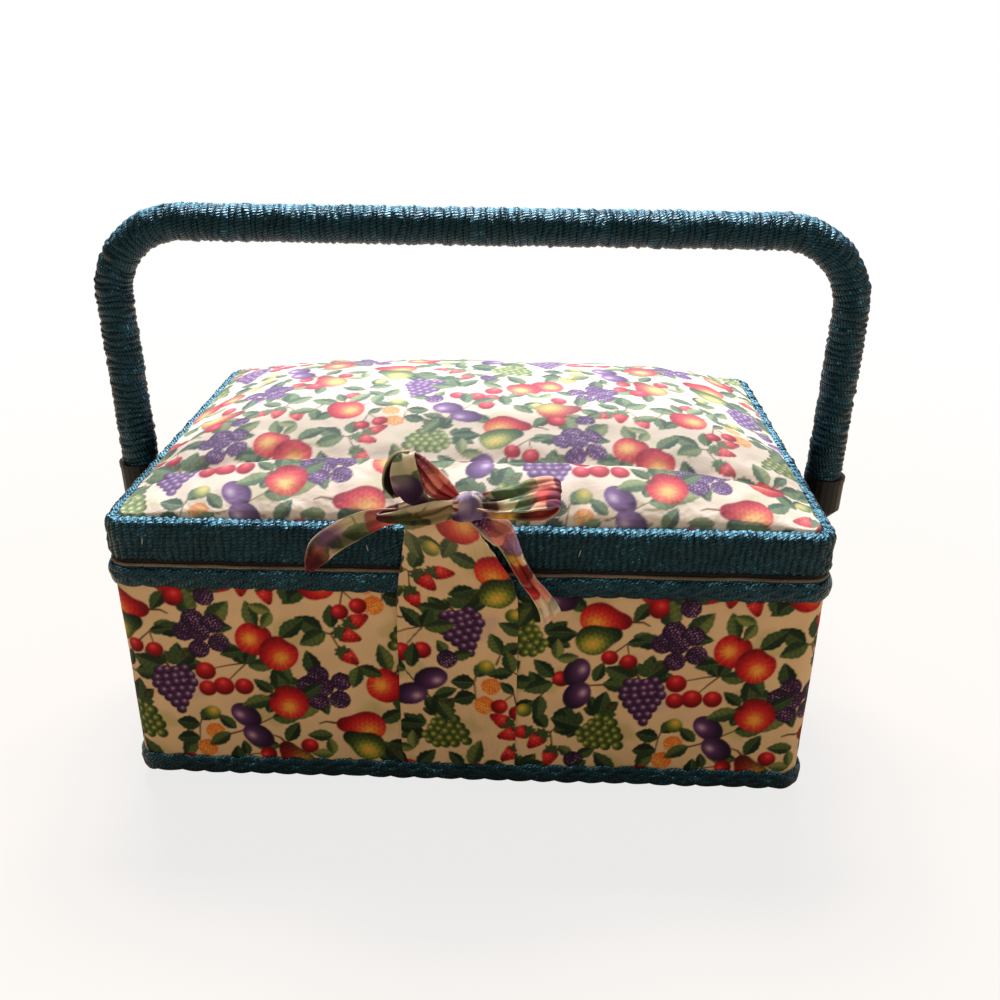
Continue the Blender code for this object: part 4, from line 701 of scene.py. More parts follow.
def teal_cord(name):
    """Shiny twisted cord. The mesh gives the strand's number, and the place along it and across it."""
    shading, shader = new_material(name)
    cord = shading.add("Attribute", attribute_name="cord")["Vector"]
    _, along, across = shading.add("SeparateXYZ", {0: cord})
    slant = shading.math("ADD", shading.math("MULTIPLY", along, math.tau / CORD_TWIST),
                         shading.math("MULTIPLY", across, 3.4))
    twist = shading.math("SINE", slant)
    place = shading.add("TexCoord")["Object"]
    fibre = shading.noise(place, 1500.0, 2.0)
    dash = shading.noise(shading.vector("MULTIPLY", {0: cord, 1: (2.3, 0.42, 0.5)}), 1.0, 3.0, 0.6)
    # Painted highlight: the colour grows lighter on faces that look upwards, where the light from above falls
    upward = shading.add("SeparateXYZ", {0: shading.add("NewGeometry")["Normal"]})[2]
    painted_top_light = shading.math("POWER", shading.math("MAXIMUM", upward, 0.0), 1.6)
    value = shading.math("MULTIPLY", shading.noise(place, 130.0, 4.0), 0.45)
    for part, share in ((dash, 0.75), (twist, 0.07), (fibre, 0.20), (painted_top_light, 0.27)):
        value = shading.math("ADD", value, shading.math("MULTIPLY", part, share))
    colour = shading.ramp(value, [(0.52, srgb(0, 9, 15)), (0.74, srgb(1, 24, 36)), (0.89, srgb(10, 64, 88)),
                                  (1.0, srgb(118, 180, 206))])
    # Painted shade: the colour darkens towards each strand's edges, in the grooves between the strands
    groove = shading.math("POWER", shading.math("ABSOLUTE", across), 3.0)
    shade = shading.math("SUBTRACT", 1.0, shading.math("MULTIPLY", groove, 0.72))
    height = shading.math("ADD", twist, shading.math("MULTIPLY", fibre, 1.2))
    shading.feed(shader, {
        "Base Color": shading.vector("SCALE", {0: colour, "Scale": shade}),
        "Roughness": shading.spread(dash, 0.22, 0.42),
        "Specular IOR Level": 0.6, "Specular Tint": (0.32, 0.78, 1.0, 1),
        "Normal": shading.bump(height, 0.00014, 0.8),
    })


def plain_material(name, colour, other, roughness, scale, bump_distance, metallic=0.0, specular=0.5):
    """Finish with cloudy colour, uneven gloss and a fine grain."""
    shading, shader = new_material(name)
    place = shading.add("TexCoord")["Object"]
    cloud = shading.noise(place, scale, 4.0)
    shading.feed(shader, {
        "Base Color": shading.ramp(cloud, [(0.3, colour), (0.7, other)]),
        "Roughness": shading.spread(cloud, roughness * 0.85, min(1.0, roughness * 1.2)),
        "Metallic": metallic, "Specular IOR Level": specular,
        "Normal": shading.bump(shading.noise(place, scale * 12, 3.0), bump_distance, 0.6),
    })


def woven_material(name, colour, other, pitch):
    """Plain woven cloth or tape."""
    shading, shader = new_material(name)
    place = shading.add("TexCoord")["Object"]
    weave = shading.weave(place, pitch)
    value = shading.math("ADD", shading.noise(place, 70.0, 4.0), shading.math("MULTIPLY", weave, 0.10))
    shading.feed(shader, {
        "Base Color": shading.ramp(value, [(0.25, other), (0.7, colour)]),
        "Roughness": 0.85, "Sheen Weight": 0.15, "Normal": shading.bump(weave, 0.00012, 0.6),
    })


# One printed cotton in three copies: the body's, which the strap shares, is tinted tan and deepened as
# painted shade, the bow's less so, and the lid's is left nearly plain
printed_cloth("lid_print", (1.0, 1.0, 1.04), 1.0)
printed_cloth("shaded_body_print", (0.96, 0.87, 0.74), 1.3)
printed_cloth("shaded_bow_print", (1.0, 0.94, 0.86), 1.15)
teal_cord("cord")
plain_material("board", srgb(176, 152, 120), srgb(150, 126, 96), 0.85, 60, 0.00008)
woven_material("lining", srgb(228, 216, 190), srgb(206, 190, 158), 0.0008)
woven_material("edging", srgb(142, 122, 98), srgb(88, 72, 56), 0.0009)
# Near-black cloth of the rim's fold: painted shadow in the gap between the band and the plait
woven_material("shadow_black_cloth", srgb(26, 27, 28), srgb(14, 15, 16), 0.0008)
plain_material("plastic", srgb(15, 17, 19), srgb(25, 28, 30), 0.40, 90, 0.00003, specular=0.25)
plain_material("tray", srgb(226, 222, 206), srgb(216, 211, 192), 0.34, 40, 0.00002)
plain_material("steel", srgb(178, 180, 178), srgb(150, 152, 150), 0.32, 200, 0.00002, 1.0)
plain_material("brass", srgb(198, 162, 92), srgb(160, 122, 62), 0.34, 140, 0.00002, 1.0)
plain_material("cane", srgb(150, 118, 80), srgb(120, 88, 56), 0.6, 80, 0.00005)
woven_material("hook_tape", srgb(228, 226, 218), srgb(196, 192, 180), 0.0006)

NODE_MATERIALS = {
    "board": ["body_shell", "lid_frame", "lid_board"] + [f"tray_ledge_{side}" for side in SIDES],
    "plastic": [f"foot_{foot}" for foot in FEET]
               + [f"handle_{part}_{side}" for part in ("ear", "socket") for side in SIDES],
    "tray": ["sewing_tray"],
    "steel": [f"foot_screw_{foot}" for foot in FEET]
             + [f"{part}_{side}" for part in ("handle_rivet", "rivet_washer") for side in SIDES],
    "brass": [f"hinge_{part}_{side}" for part in ("leaf_body", "leaf_lid", "pin") for side in SIDES],
    "cane": ["handle_core"],
}
SOFT_EDGE = 0.35
for key, names in NODE_MATERIALS.items():
    for name in names:
        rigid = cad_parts[name]
        rigid.data.materials.clear()
        rigid.data.materials.append(MATERIALS[key])
        softened = rigid.modifiers.new("edges", "BEVEL")
        softened.width = SOFT_EDGE * MM
        softened.segments = 2
        softened.limit_method = "ANGLE"
        softened.angle_limit = math.radians(40)


# Body cover

COVER_PANELS = 6
COVER_STEP = 0.5
COVER_PRINT = (22, 8)
HEM = 5.0


def build_cover():
    """Printed cloth over the body walls, in panels. The strap hides the seam at the front."""
    track = Track(BODY_HALF, BODY_CORNER)
    length = track.total / COVER_PANELS
    height = COVER_HIGH[2] - COVER_LOW[2]
    level = np.linspace(COVER_LOW[2], COVER_HIGH[2], round(height / COVER_STEP) + 1)
    for panel in range(COVER_PANELS):
        distance = np.linspace(panel * length, (panel + 1) * length, round(length / COVER_STEP) + 1)
        s, z = grid(distance, level)
        ring_x, ring_y = track.ring(s)
        slack = 0.16 * ripple(ring_x, ring_y + z * 1.4, 46, 4) + 0.05 * ripple(ring_x, ring_y + z, 9, 5)
        tight = clamp((z - COVER_LOW[2]) / HEM) * clamp((COVER_HIGH[2] - z) / HEM)
        piece = grid_object(f"cover_panel_{panel + 1}", track.shell(s, slack * tight, z), "shaded_body_print",
                            print_colour=PrintedCotton(s + COVER_PRINT[0], z + COVER_PRINT[1]).colour)
        dress(piece, "basket", "printed_cloth", "body_cover")


# Lid cushion

CUSHION_CROWN = 22.0
CUSHION_EDGE_RISE = 0.3
CUSHION_INSET = 1.9
CUSHION_CORNER = 7.0
CREASE_DEPTH = 5.4
CREASE_FRONT_WIDTH = 3.4
CREASE_BACK_WIDTH = 6.5
CREASE_INSET = 33.0
CREASE_END_DROP = 10.0
SLOPE_PUFF = 0.8
LID_GRID = (500, 270)
LID_PRINT = (64, 30)

# The cloth simulation that fills the cushion, the share of its moves that is kept, and their cap
PADDING_GRID = (150, 104)
PADDING_PRESSURE = 4.0
PADDING_GROWTH = 0.03
PADDING_FRAMES = 20
PADDING_SHARE = 0.4
PADDING_CAP = 2.0


def crease_gap(x_share, y_share):
    """Distance behind the crease."""
    return y_share * LID_HALF[1] + LID_HALF[1] - CREASE_INSET + CREASE_END_DROP * np.abs(x_share) ** 6


def cushion_height(x_share, y_share):
    """Height of the padding over the lid's top edge."""
    long_share = clamp(1 - np.abs(x_share) ** 4) ** 0.85
    short_share = clamp(1 - np.abs(y_share) ** 2.6) ** 0.6
    crown = CUSHION_EDGE_RISE + (CUSHION_CROWN - CUSHION_EDGE_RISE) * long_share * short_share
    gap = crease_gap(x_share, y_share)
    width = np.where(gap > 0, CREASE_BACK_WIDTH, CREASE_FRONT_WIDTH)
    fade = clamp(1 - np.abs(x_share) ** 10)
    slope = clamp((y_share + 1) * LID_HALF[1] / CREASE_INSET)
    puff = SLOPE_PUFF * np.sin(math.pi * slope) * long_share
    return crown + puff - CREASE_DEPTH * fade * np.exp(-(gap / width) ** 2)


def cushion_points(columns, rows):
    """Grid of places on the cushion before it is padded out, and how firmly its seams hold each of them."""
    u, v = grid(np.linspace(-1, 1, columns), np.linspace(-1, 1, rows))
    half = (CUSHION_HIGH - CUSHION_LOW)[:2] / 2 - CUSHION_INSET
    # Rows gather near the rim, where the padding falls steeply
    x_share = np.sin(u * math.pi / 2) * 0.5 + u * 0.5
    y_share = np.sin(v * math.pi / 2) * 0.6 + v * 0.4
    y = y_share * half[1]
    x = x_share * corner_reach(y, half, CUSHION_CORNER)
    edge = np.minimum((1 - np.abs(x_share)) * half[0], (1 - np.abs(y_share)) * half[1])
    gap = crease_gap(x_share, y_share)
    z = cushion_height(x_share, y_share)
    z += 0.35 * ripple(x, y, 60, 11) * clamp(edge / 25)
    seam = np.exp(-edge / 9) * clamp(edge / 2) + 0.6 * np.exp(-np.abs(gap) / 5)
    lowest = np.minimum(-1.2 + edge * 0.4, 0.6)
    z = np.maximum(z + 0.45 * ripple(x, y, 12, 12) * seam, lowest)
    z -= 3.0 * clamp(1 - edge / 1.2) ** 2
    held = clamp(1.2 - edge / 4)
    held = np.maximum(held, np.exp(-(gap / 2.2) ** 2) * clamp(1.05 - np.abs(x_share) ** 8))
    return np.stack([x, y + CENTRE_Y, LID_TOP + z], -1), held


def padded_out(points, held):
    """The grid of points after a cloth of that shape, held along its seams, has been filled from below."""
    rows, columns = points.shape[:2]
    index = np.arange(rows * columns).reshape(rows, columns)
    mesh = bpy.data.meshes.new("padding")
    mesh.from_pydata((points.reshape(-1, 3) * MM).tolist(), [], cells(index).reshape(-1, 4).tolist())
    piece = add_object("padding", mesh)
    scene = bpy.context.scene
    group = piece.vertex_groups.new(name="seams")
    levels = np.round(held.ravel() * 10).astype(int)
    for level in range(1, 11):
        group.add(np.nonzero(levels == level)[0].tolist(), level / 10, "REPLACE")
    cloth = piece.modifiers.new("cloth", "CLOTH")
    for key, value in {
        "quality": 5, "mass": 0.3, "tension_stiffness": 15, "compression_stiffness": 15,
        "shear_stiffness": 7.5, "bending_stiffness": 0.5, "use_pressure": True, "vertex_group_mass": "seams",
        "uniform_pressure_force": PADDING_PRESSURE, "shrink_min": -PADDING_GROWTH,
    }.items():
        setattr(cloth.settings, key, value)
    cloth.settings.effector_weights.gravity = 0
    cloth.collision_settings.use_collision = False
    cloth.point_cache.frame_start = 1
    cloth.point_cache.frame_end = PADDING_FRAMES
    for moment in range(1, PADDING_FRAMES + 1):
        scene.frame_set(moment)
    swollen = piece.evaluated_get(bpy.context.evaluated_depsgraph_get()).to_mesh()
    places = np.empty(rows * columns * 3, np.float32)
    swollen.vertices.foreach_get("co", places)
    scene.frame_set(1)
    bpy.data.objects.remove(piece)
    bpy.data.meshes.remove(mesh)
    return places.reshape(rows, columns, 3) / MM


def read_grid(values, rows, columns):
    """Grid of vectors read smoothly on a finer grid."""
    wanted = np.linspace(0, 1, rows)
    given = np.linspace(0, 1, values.shape[0])
    tall = [[np.interp(wanted, given, values[:, j, k]) for k in range(3)] for j in range(values.shape[1])]
    tall = np.stack(tall)
    wanted = np.linspace(0, 1, columns)
    given = np.linspace(0, 1, values.shape[1])
    wide = [[np.interp(wanted, given, tall[:, k, i]) for k in range(3)] for i in range(rows)]
    return np.array(wide).transpose(0, 2, 1)


def build_cushion():
    """Padded lid top: crowned, creased across near the front, with its edge tucked behind the band."""
    points, _ = cushion_points(*LID_GRID)
    start, held = cushion_points(*PADDING_GRID)
    moved = padded_out(start, held) - start
    moved = PADDING_CAP * np.tanh(PADDING_SHARE * moved / PADDING_CAP)
    points = points + read_grid(moved, *LID_GRID)
    run = np.linalg.norm(np.diff(points, axis=1), axis=-1)
    along = np.concatenate([np.zeros((len(run), 1)), np.cumsum(run, 1)], 1)
    # The lid's print is lightened towards white: painted light on its brightly lit top
    piece = grid_object("lid_cushion_cloth", points, "lid_print",
                        print_colour=PrintedCotton(points[..., 0] + LID_PRINT[0], along + LID_PRINT[1],
                                                   LID_PAINTED_LIGHT).colour)
    dress(piece, "lid", "printed_cloth", "lid_cushion")


# Wound and plaited cord

BAND_PITCH = 2.8
BAND_RELIEF = 0.8
BAND_SAMPLES = 11
BAND_LIP = 3.3
BAND_INNER = -6.0

HANDLE_PITCH = 3.1
HANDLE_RELIEF = 0.75
HANDLE_SAMPLES = 13
HANDLE_SIDES = 48
HANDLE_BEND = 34.0
HANDLE_PIVOT = 85.0
HANDLE_SPLAY = 2.2

PLAIT_STRANDS = 3
PLAIT_SIDES = 14
PLAIT_STEP = 0.75


def over_strand(phase):
    """Place across a strand, -1 to 1, with a strand to each unit of phase."""
    return 2 * np.mod(phase, 1) - 1


def strand_profile(phase):
    """Round back of a cord over one pitch of phase, 0 in the groove and 1 on the crest."""
    return clamp(1 - over_strand(phase) ** 2) ** 0.55


def cord_object(name, points, body, node_name, cord, **settings):
    """Cord over a grid of points, given the strand's number and the places along and across it."""
    piece = grid_object(name, points, "cord", cord=np.stack(cord, -1), **settings)
    dress(piece, body, "teal_cord", node_name)


def build_band():
    """Cord wound over the lid's rim, strand beside strand."""
    track = Track(LID_HALF, LID_CORNER)
    strands = round(track.total / BAND_PITCH)
    height = LID_TOP - LID_BOTTOM
    # Outline of the band by its reach outwards and its rise over the lid's top edge, from its inner edge
    inner = [(0.0, -2.2), (0.15, -1.0), (0.7, -0.2), (1.5, 0.15)]
    profile = [(BAND_INNER + reach, rise) for reach, rise in inner]
    profile += [(-BAND_LIP + BAND_LIP * math.sin(turn), -BAND_LIP + BAND_LIP * math.cos(turn))
                for turn in np.linspace(0.0, math.pi / 2, 7)]
    profile += [(0.0, -BAND_LIP - (height - BAND_LIP - 1.2) * share) for share in np.linspace(0.12, 1, 9)]
    profile += [(-0.25, -height + 0.5), (-0.9, -height + 0.12), (-1.6, -height + 0.05)]
    profile = np.array(profile)
    run = run_along(profile)
    direction = np.gradient(profile, axis=0)
    normal = unit(np.stack([-direction[:, 1], direction[:, 0]], -1))
    if normal[len(profile) // 2, 0] < 0:
        normal = -normal
    s, j = grid(track.steps(strands * BAND_SAMPLES), np.arange(len(profile)))
    down = run[j]
    ring_x, ring_y = track.ring(s, 156)
    wander = 0.34 * ripple(ring_x, ring_y + down * 1.2, 21, 21)
    wander = wander + 0.16 * ripple(ring_x, ring_y + down * 3, 8, 24)
    phase = s / track.total * strands + wander + 0.015 * down
    strand_height = 1 + 0.42 * ripple(ring_x, ring_y + down, 6, 22)
    fade = clamp(down / 1.5) * clamp((run[-1] - down) / 1.5)
    lift = BAND_RELIEF * (strand_profile(phase) * strand_height - 1.0) * fade
    lift = lift + 0.12 * ripple(ring_x, ring_y + down, 14, 23)
    offset = profile[j] + normal[j] * lift[..., None]
    points = track.shell(s, offset[..., 0], LID_TOP + offset[..., 1])
    cord_object("lid_band_winding", points, "lid", "lid_band",
                (phase, down + 3.1 * np.floor(phase), over_strand(phase)),
                close_rows=True, close_columns=True, folds=5)


def build_plait(name, node_name, inset, level, spread, depth, strand_width, strand_thickness, cycle, seed,
                wave):
    """Flat plait of cords that lies against the body's walls all round."""
    track = Track(BODY_HALF - inset, BODY_CORNER - inset)
    cycles = round(track.total / cycle)
    steps = round(track.total / PLAIT_STEP)
    distance = track.steps(steps)
    ring_x, ring_y = track.ring(distance)
    place, out = track.at(distance)
    outward = np.concatenate([out, np.zeros((steps, 1))], -1)
    angle = round_angles(PLAIT_SIDES)
    ribs = 1 + 0.07 * np.cos(angle * 5)
    for strand in range(PLAIT_STRANDS):
        phase = math.tau * cycles * distance / track.total + math.tau * strand / PLAIT_STRANDS
        rise = spread * np.sin(phase) + wave * ripple(ring_x, ring_y, 40, seed)
        reach = depth * (0.5 + 0.5 * np.cos(2 * phase)) * 0.5 + strand_thickness / 2
        reach = reach + 0.15 * ripple(ring_x, ring_y, 9, seed + strand)
        centre = np.concatenate([place + out * reach[:, None], (level + rise)[:, None]], -1)
        run = unit(np.roll(centre, -1, 0) - np.roll(centre, 1, 0))
        across = unit(np.cross(outward, run))
        swell = 1 + 0.06 * ripple(ring_x, ring_y, 7, seed + 9 + strand)[:, None]
        width = strand_width / 2 * np.cos(angle) * ribs * swell
        thickness = strand_thickness / 2 * np.sin(angle) * ribs * swell
        points = centre[:, None] + across[:, None] * width[..., None]
        points = points + outward[:, None] * thickness[..., None]
        yarn = np.broadcast_to(angle / math.tau * 5 + strand * 20, width.shape)
        cord_object(f"{name}_{strand + 1}", points, "basket", node_name,
                    (yarn, np.broadcast_to(distance[:, None], width.shape), over_strand(yarn)),
                    close_rows=True, close_columns=True, flip=True, folds=8)


def build_backing():
    """Dark tape that the upper plait is sewn on."""
    low, high, reach = BRAID_LOW[2] + 1.6, BRAID_HIGH[2] + 0.35, 0.45
    track = Track(BODY_HALF, BODY_CORNER)
    profile = np.array([(0.05, low), (reach, low + 0.3), (reach, (low + high) / 2), (reach, high - 0.3),
                        (0.05, high)])
    s, j = grid(track.steps(700), np.arange(len(profile)))
    ring_x, ring_y = track.ring(s)
    out_by, level = profile[j][..., 0], profile[j][..., 1]
    points = track.shell(s, out_by, level + 0.15 * ripple(ring_x, ring_y, 22, 141))
    cord_object("upper_backing", points, "basket", "upper_braid", (level * 1.3, s, np.full(s.shape, 0.7)),
                close_rows=True, folds=4)


def handle_line(radius):
    """Middle line of the winding, as x and z, from the left socket over the bar to the right one."""
    bar_level = WRAP_HIGH[2] - radius
    top_half = WRAP_HIGH[0] - radius
    lean = math.atan2(HANDLE_SPLAY, bar_level - HANDLE_PIVOT)
    centre_x = top_half - HANDLE_BEND * (1 + math.sin(lean)) / math.cos(lean)
    centre_z = bar_level - HANDLE_BEND
    right = [(centre_x + HANDLE_BEND * math.sin(turn), centre_z + HANDLE_BEND * math.cos(turn))
             for turn in np.linspace(0, math.pi / 2 + lean, 40)]
    foot_share = (WRAP_LOW[2] - HANDLE_PIVOT) / (bar_level - HANDLE_PIVOT)
    right.append((top_half - HANDLE_SPLAY * (1 - foot_share), WRAP_LOW[2]))
    return np.array([(-x, z) for x, z in reversed(right)] + right)


def build_handle_winding():
    """Cord wound round the handle from one socket to the other."""
    radius = (WRAP_HIGH[1] - WRAP_LOW[1]) / 2
    line = handle_line(radius)
    lengths = run_along(line)
    total = lengths[-1]
    distance = np.linspace(0, total, round(total / HANDLE_PITCH) * HANDLE_SAMPLES)
    centre = np.stack([np.interp(distance, lengths, line[:, 0]), np.full(distance.size, CENTRE_Y),
                       np.interp(distance, lengths, line[:, 1])], -1)
    side = np.array([0.0, 1.0, 0.0])
    up = np.cross(side, unit(np.gradient(centre, axis=0)))
    s, theta = grid(distance, round_angles(HANDLE_SIDES))
    wrap_x, wrap_y = np.cos(theta) * radius, np.sin(theta) * radius
    wander = 0.30 * ripple(s, wrap_x * 1.3, 17, 31) + 0.18 * ripple(s, wrap_y, 6, 32)
    phase = s / HANDLE_PITCH + theta / math.tau + wander
    lumps = 0.22 * ripple(s, wrap_x * 0.6, 8.5, 33) + 0.16 * ripple(s, wrap_y * 0.7, 26, 34)
    ends = clamp(s / 1.2) * clamp((total - s) / 1.2)
    ridge = HANDLE_RELIEF * strand_profile(phase) * (1 + 0.35 * ripple(s, wrap_x, 5, 35))
    reach = radius - HANDLE_RELIEF + ridge + lumps * ends
    points = centre[:, None] + up[:, None] * (np.cos(theta) * reach)[..., None]
    points = points + side * (np.sin(theta) * reach)[..., None]
    cord_object("handle_winding", points, "handle", "handle_wrap",
                (np.floor(phase) * 0.37, theta * radius + 5.3 * np.floor(phase), over_strand(phase)),
                close_columns=True, folds=3)


# Strap and bow

STRAP_CLOTH = 0.8
BOW_CLOTH = 0.7

PALE, PINK, SAGE = (0.94, 0.92, 0.84), (0.93, 0.52, 0.52), (0.62, 0.70, 0.56)
OLIVE, PLUM, WINE = (0.34, 0.31, 0.17), (0.20, 0.10, 0.25), (0.36, 0.05, 0.08)
SUN, SOOT, RAW_CLOTH = (0.95, 0.72, 0.30), (0.09, 0.07, 0.07), (0.95, 0.90, 0.82)

# Rows of the bow's strips: a middle point, with y counted from behind the bow, half of the width as a vector,
# the lift of the middle, and the depth of the pleats
STANDING_BEHIND = [
    (-3.0, 0.6, 144.8, -1.5, 0.0, -1.2, 0.4, 0.5), (-7.9, -0.6, 148.8, -3.6, -0.2, -2.7, 0.9, 1.0),
    (-11.4, -0.9, 152.8, -3.8, -0.2, -3.0, 1.1, 1.1), (-15.0, -0.7, 157.2, -3.4, -0.2, -2.4, 0.9, 1.0),
    (-18.6, -0.1, 161.0, -2.8, -0.3, -1.4, 0.5, 0.6), (-21.4, 0.9, 162.4, -2.4, -0.3, -0.3, 0.2, 0.2),
]
STANDING_FRONT = [
    (-20.8, 0.8, 162.6, 3.2, 0.3, 0.5, 0.3, 0.2), (-21.6, -1.5, 162.0, 3.9, 0.0, 0.8, 0.9, 0.3),
    (-21.7, -3.0, 157.2, 4.9, 0.2, 0.5, 1.9, 0.5), (-20.6, -3.4, 151.4, 5.8, 0.3, -0.4, 2.1, 0.6),
    (-18.6, -2.8, 146.6, 6.1, 0.3, -0.9, 1.6, 0.7), (-15.8, -1.4, 143.2, 5.0, 0.2, -1.0, 1.0, 0.6),
]
STANDING_HOLLOW = [
    (-24.2, -0.8, 145.6, 2.0, 0.9, 0.3, 0.8, 0.1), (-27.4, -0.6, 150.2, 2.3, 1.2, 0.2, 1.3, 0.1),
    (-26.6, -0.4, 156.2, 2.4, 1.2, -0.8, 1.4, 0.1), (-23.6, -0.2, 160.8, 2.0, 1.0, -1.8, 1.1, 0.1),
    (-19.2, -0.1, 162.4, 0.9, 0.6, -2.0, 0.6, 0.1),
]
LEFT_LOOP = [
    (-2.6, -1.8, 142.4, 0.4, -0.5, 3.4, -0.8, 0.6), (-7.0, -3.8, 142.3, 0.6, -0.9, 4.5, -1.2, 0.8),
    (-13.0, -4.6, 141.1, 0.4, -1.0, 4.6, -1.2, 0.7), (-20.0, -4.2, 139.6, 0.2, -0.8, 3.8, -1.0, 0.6),
    (-27.0, -2.8, 138.0, 0.0, -0.5, 2.3, -0.6, 0.4), (-31.6, -1.0, 137.0, 0.0, -0.2, 1.2, -0.2, 0.2),
    (-32.4, 0.6, 137.0, 0.0, 0.0, 1.3, -0.1, 0.1), (-28.0, 1.3, 138.2, 0.0, 0.3, 2.6, -0.2, 0.3),
    (-18.0, 1.2, 140.2, 0.2, 0.5, 3.8, -0.3, 0.4), (-8.0, 0.6, 141.8, 0.5, 0.6, 3.4, -0.2, 0.5),
    (-2.6, 0.2, 142.4, 0.4, 0.4, 2.4, 0.0, 0.4),
]
RIGHT_TAIL = [
    (1.6, 0.0, 136.8, 0.6, 0, 1.6, 0.5, 0.5), (8.6, -1.2, 133.6, 1.8, 0.6, 3.6, 1.2, 0.7),
    (14.2, -1.8, 130.4, 3.2, 1.4, 4.0, 1.6, 0.8), (17.6, -1.6, 124.0, 4.0, 1.2, -0.8, 1.6, 0.8),
    (20.6, -1.0, 117.2, 2.8, 0.6, 0.8, 1.4, 0.8), (24.6, -0.8, 110.0, 2.6, 0.5, 1.4, 1.2, 0.8),
    (29.6, -0.8, 103.2, 2.7, 0.4, 1.7, 1.0, 0.7), (32.6, -0.8, 97.8, 3.0, 0.2, 2.6, 0.7, 0.7),
    (34.0, -1.2, 92.9, 3.7, -0.3, 4.2, 0.3, 0.9),
]
LEFT_TAIL = [
    (-1.6, 0.0, 139.0, 0.0, 0, 2.0, 0.4, 0.4), (-14.0, -0.8, 137.6, -0.2, -0.3, 3.2, 0.8, 0.6),
    (-27.0, -1.2, 136.4, -0.8, -0.5, 3.6, 1.0, 0.7), (-37.0, -1.6, 133.6, -1.8, -0.5, 4.6, 1.2, 0.8),
    (-44.4, -2.0, 130.2, -2.8, -0.5, 4.7, 1.4, 0.8), (-51.0, -2.0, 125.4, -3.6, -0.4, 4.1, 1.4, 0.7),
    (-55.6, -1.6, 121.0, -4.0, 0, 3.1, 1.0, 0.6), (-58.8, -1.0, 116.0, -3.0, 0, 1.6, 0.5, 0.3),
    (-61.6, -0.8, 111.0, -0.6, 0, 0.3, 0.0, 0.0),
]


def smooth_rows(rows, count):
    """Rows read along a smooth curve through given rows, evenly spaced by their first three numbers."""
    rows = np.array(rows, float)
    padded = np.vstack([2 * rows[0] - rows[1], rows, 2 * rows[-1] - rows[-2]])
    fine = []
    for index in range(1, len(padded) - 2):
        before, start, end, after = padded[index - 1:index + 3]
        for t in np.linspace(0, 1, 24, endpoint=False):
            bend = 2 * before - 5 * start + 4 * end - after
            twist = 3 * start - before - 3 * end + after
            fine.append(0.5 * (2 * start + (end - before) * t + bend * t * t + twist * t ** 3))
    fine.append(padded[-2])
    fine = np.array(fine)
    lengths = np.concatenate([[0], np.cumsum(np.linalg.norm(np.diff(fine[:, :3], axis=0), axis=1))])
    wanted = np.linspace(0, lengths[-1], count)
    return np.stack([np.interp(wanted, lengths, column) for column in fine.T], -1), wanted


def cloth_strip(name, rows, material, count, across_count, crease, seed, print_place=(0, 0), print_turn=0.0,
                pleats=0.0, thickness=BOW_CLOTH, raw_edge=0.0, nap=0.0, accent_and_light_spots=(), inner_painted_shade=()):
    """Strip of cloth along rows such as the bow's, with its length and area. A spot is a soft blot of colour,
    used both as an accent of the print and as painted light and shade: its place along and across the strip,
    its reach both ways, its colour and its strength. Inner spots lie on the inner face only and are painted
    shade."""
    stations, lengths = smooth_rows(rows, count)
    centre, half, lift, depth = stations[:, :3], stations[:, 3:6], stations[:, 6], stations[:, 7]
    even = np.linspace(-1, 1, across_count)
    share = np.sin(even * math.pi / 2) * 0.3 + even * 0.7
    width = np.linalg.norm(half, axis=1)
    normal = unit(np.cross(np.gradient(centre, axis=0), half))
    s, w = grid(lengths, share)
    flat_x = w * width[:, None]
    bow = (1 - w ** 2) * lift[:, None]
    folds = crease * ripple(s * 0.35, flat_x * 2.2, 6.5, seed) + 0.5 * crease * ripple(s, flat_x, 9, seed + 1)
    folds = folds + depth[:, None] * np.cos(math.pi * pleats * w + 0.5 * np.sin(s * 0.3 + seed) + seed)
    middle = centre[:, None] + half[:, None] * w[..., None] + normal[:, None] * (bow + folds)[..., None]
    skin = unit(np.cross(np.gradient(middle, axis=0), np.gradient(middle, axis=1)))
    pile = nap * (np.sin(math.pi * s / 0.8) * np.sin(math.pi * flat_x / 0.8)) ** 2
    front = middle + skin * (thickness / 2 + pile)[..., None]
    back = (middle - skin * thickness / 2)[:, ::-1]
    turn = math.radians(print_turn)
    across = np.concatenate([flat_x, -flat_x[:, ::-1]], 1)
    along = np.concatenate([s, s[:, ::-1]], 1)
    print_colour = PrintedCotton(print_place[0] + across * math.cos(turn) - along * math.sin(turn),
                                 print_place[1] + across * math.sin(turn) + along * math.cos(turn)).colour
    rim = np.concatenate([w, w[:, ::-1]], 1)
    facing = np.concatenate([np.ones(w.shape), np.zeros(w.shape)], 1)
    for blots, side in ((accent_and_light_spots, 1.0), (inner_painted_shade, facing)):
        for far, off, reach, breadth, colour, strength in blots:
            gap = ((along / lengths[-1] - far) / reach) ** 2 + ((rim - off) / breadth) ** 2
            print_colour = mix(print_colour, colour, (strength * side * np.exp(-gap ** 1.6)).ravel())
    worn = clamp((np.abs(rim) - 0.86) / 0.10).ravel() * raw_edge
    print_colour = mix(print_colour, RAW_CLOTH, worn)
    crossed = np.cross(middle[1:, 1:] - middle[:-1, :-1], middle[1:, :-1] - middle[:-1, 1:])
    area = np.linalg.norm(crossed, axis=-1).sum() / 2
    piece = grid_object(name, np.concatenate([front, back], 1), material, close_columns=True, cap_ends=True,
                        print_colour=print_colour)
    return piece, lengths[-1], area


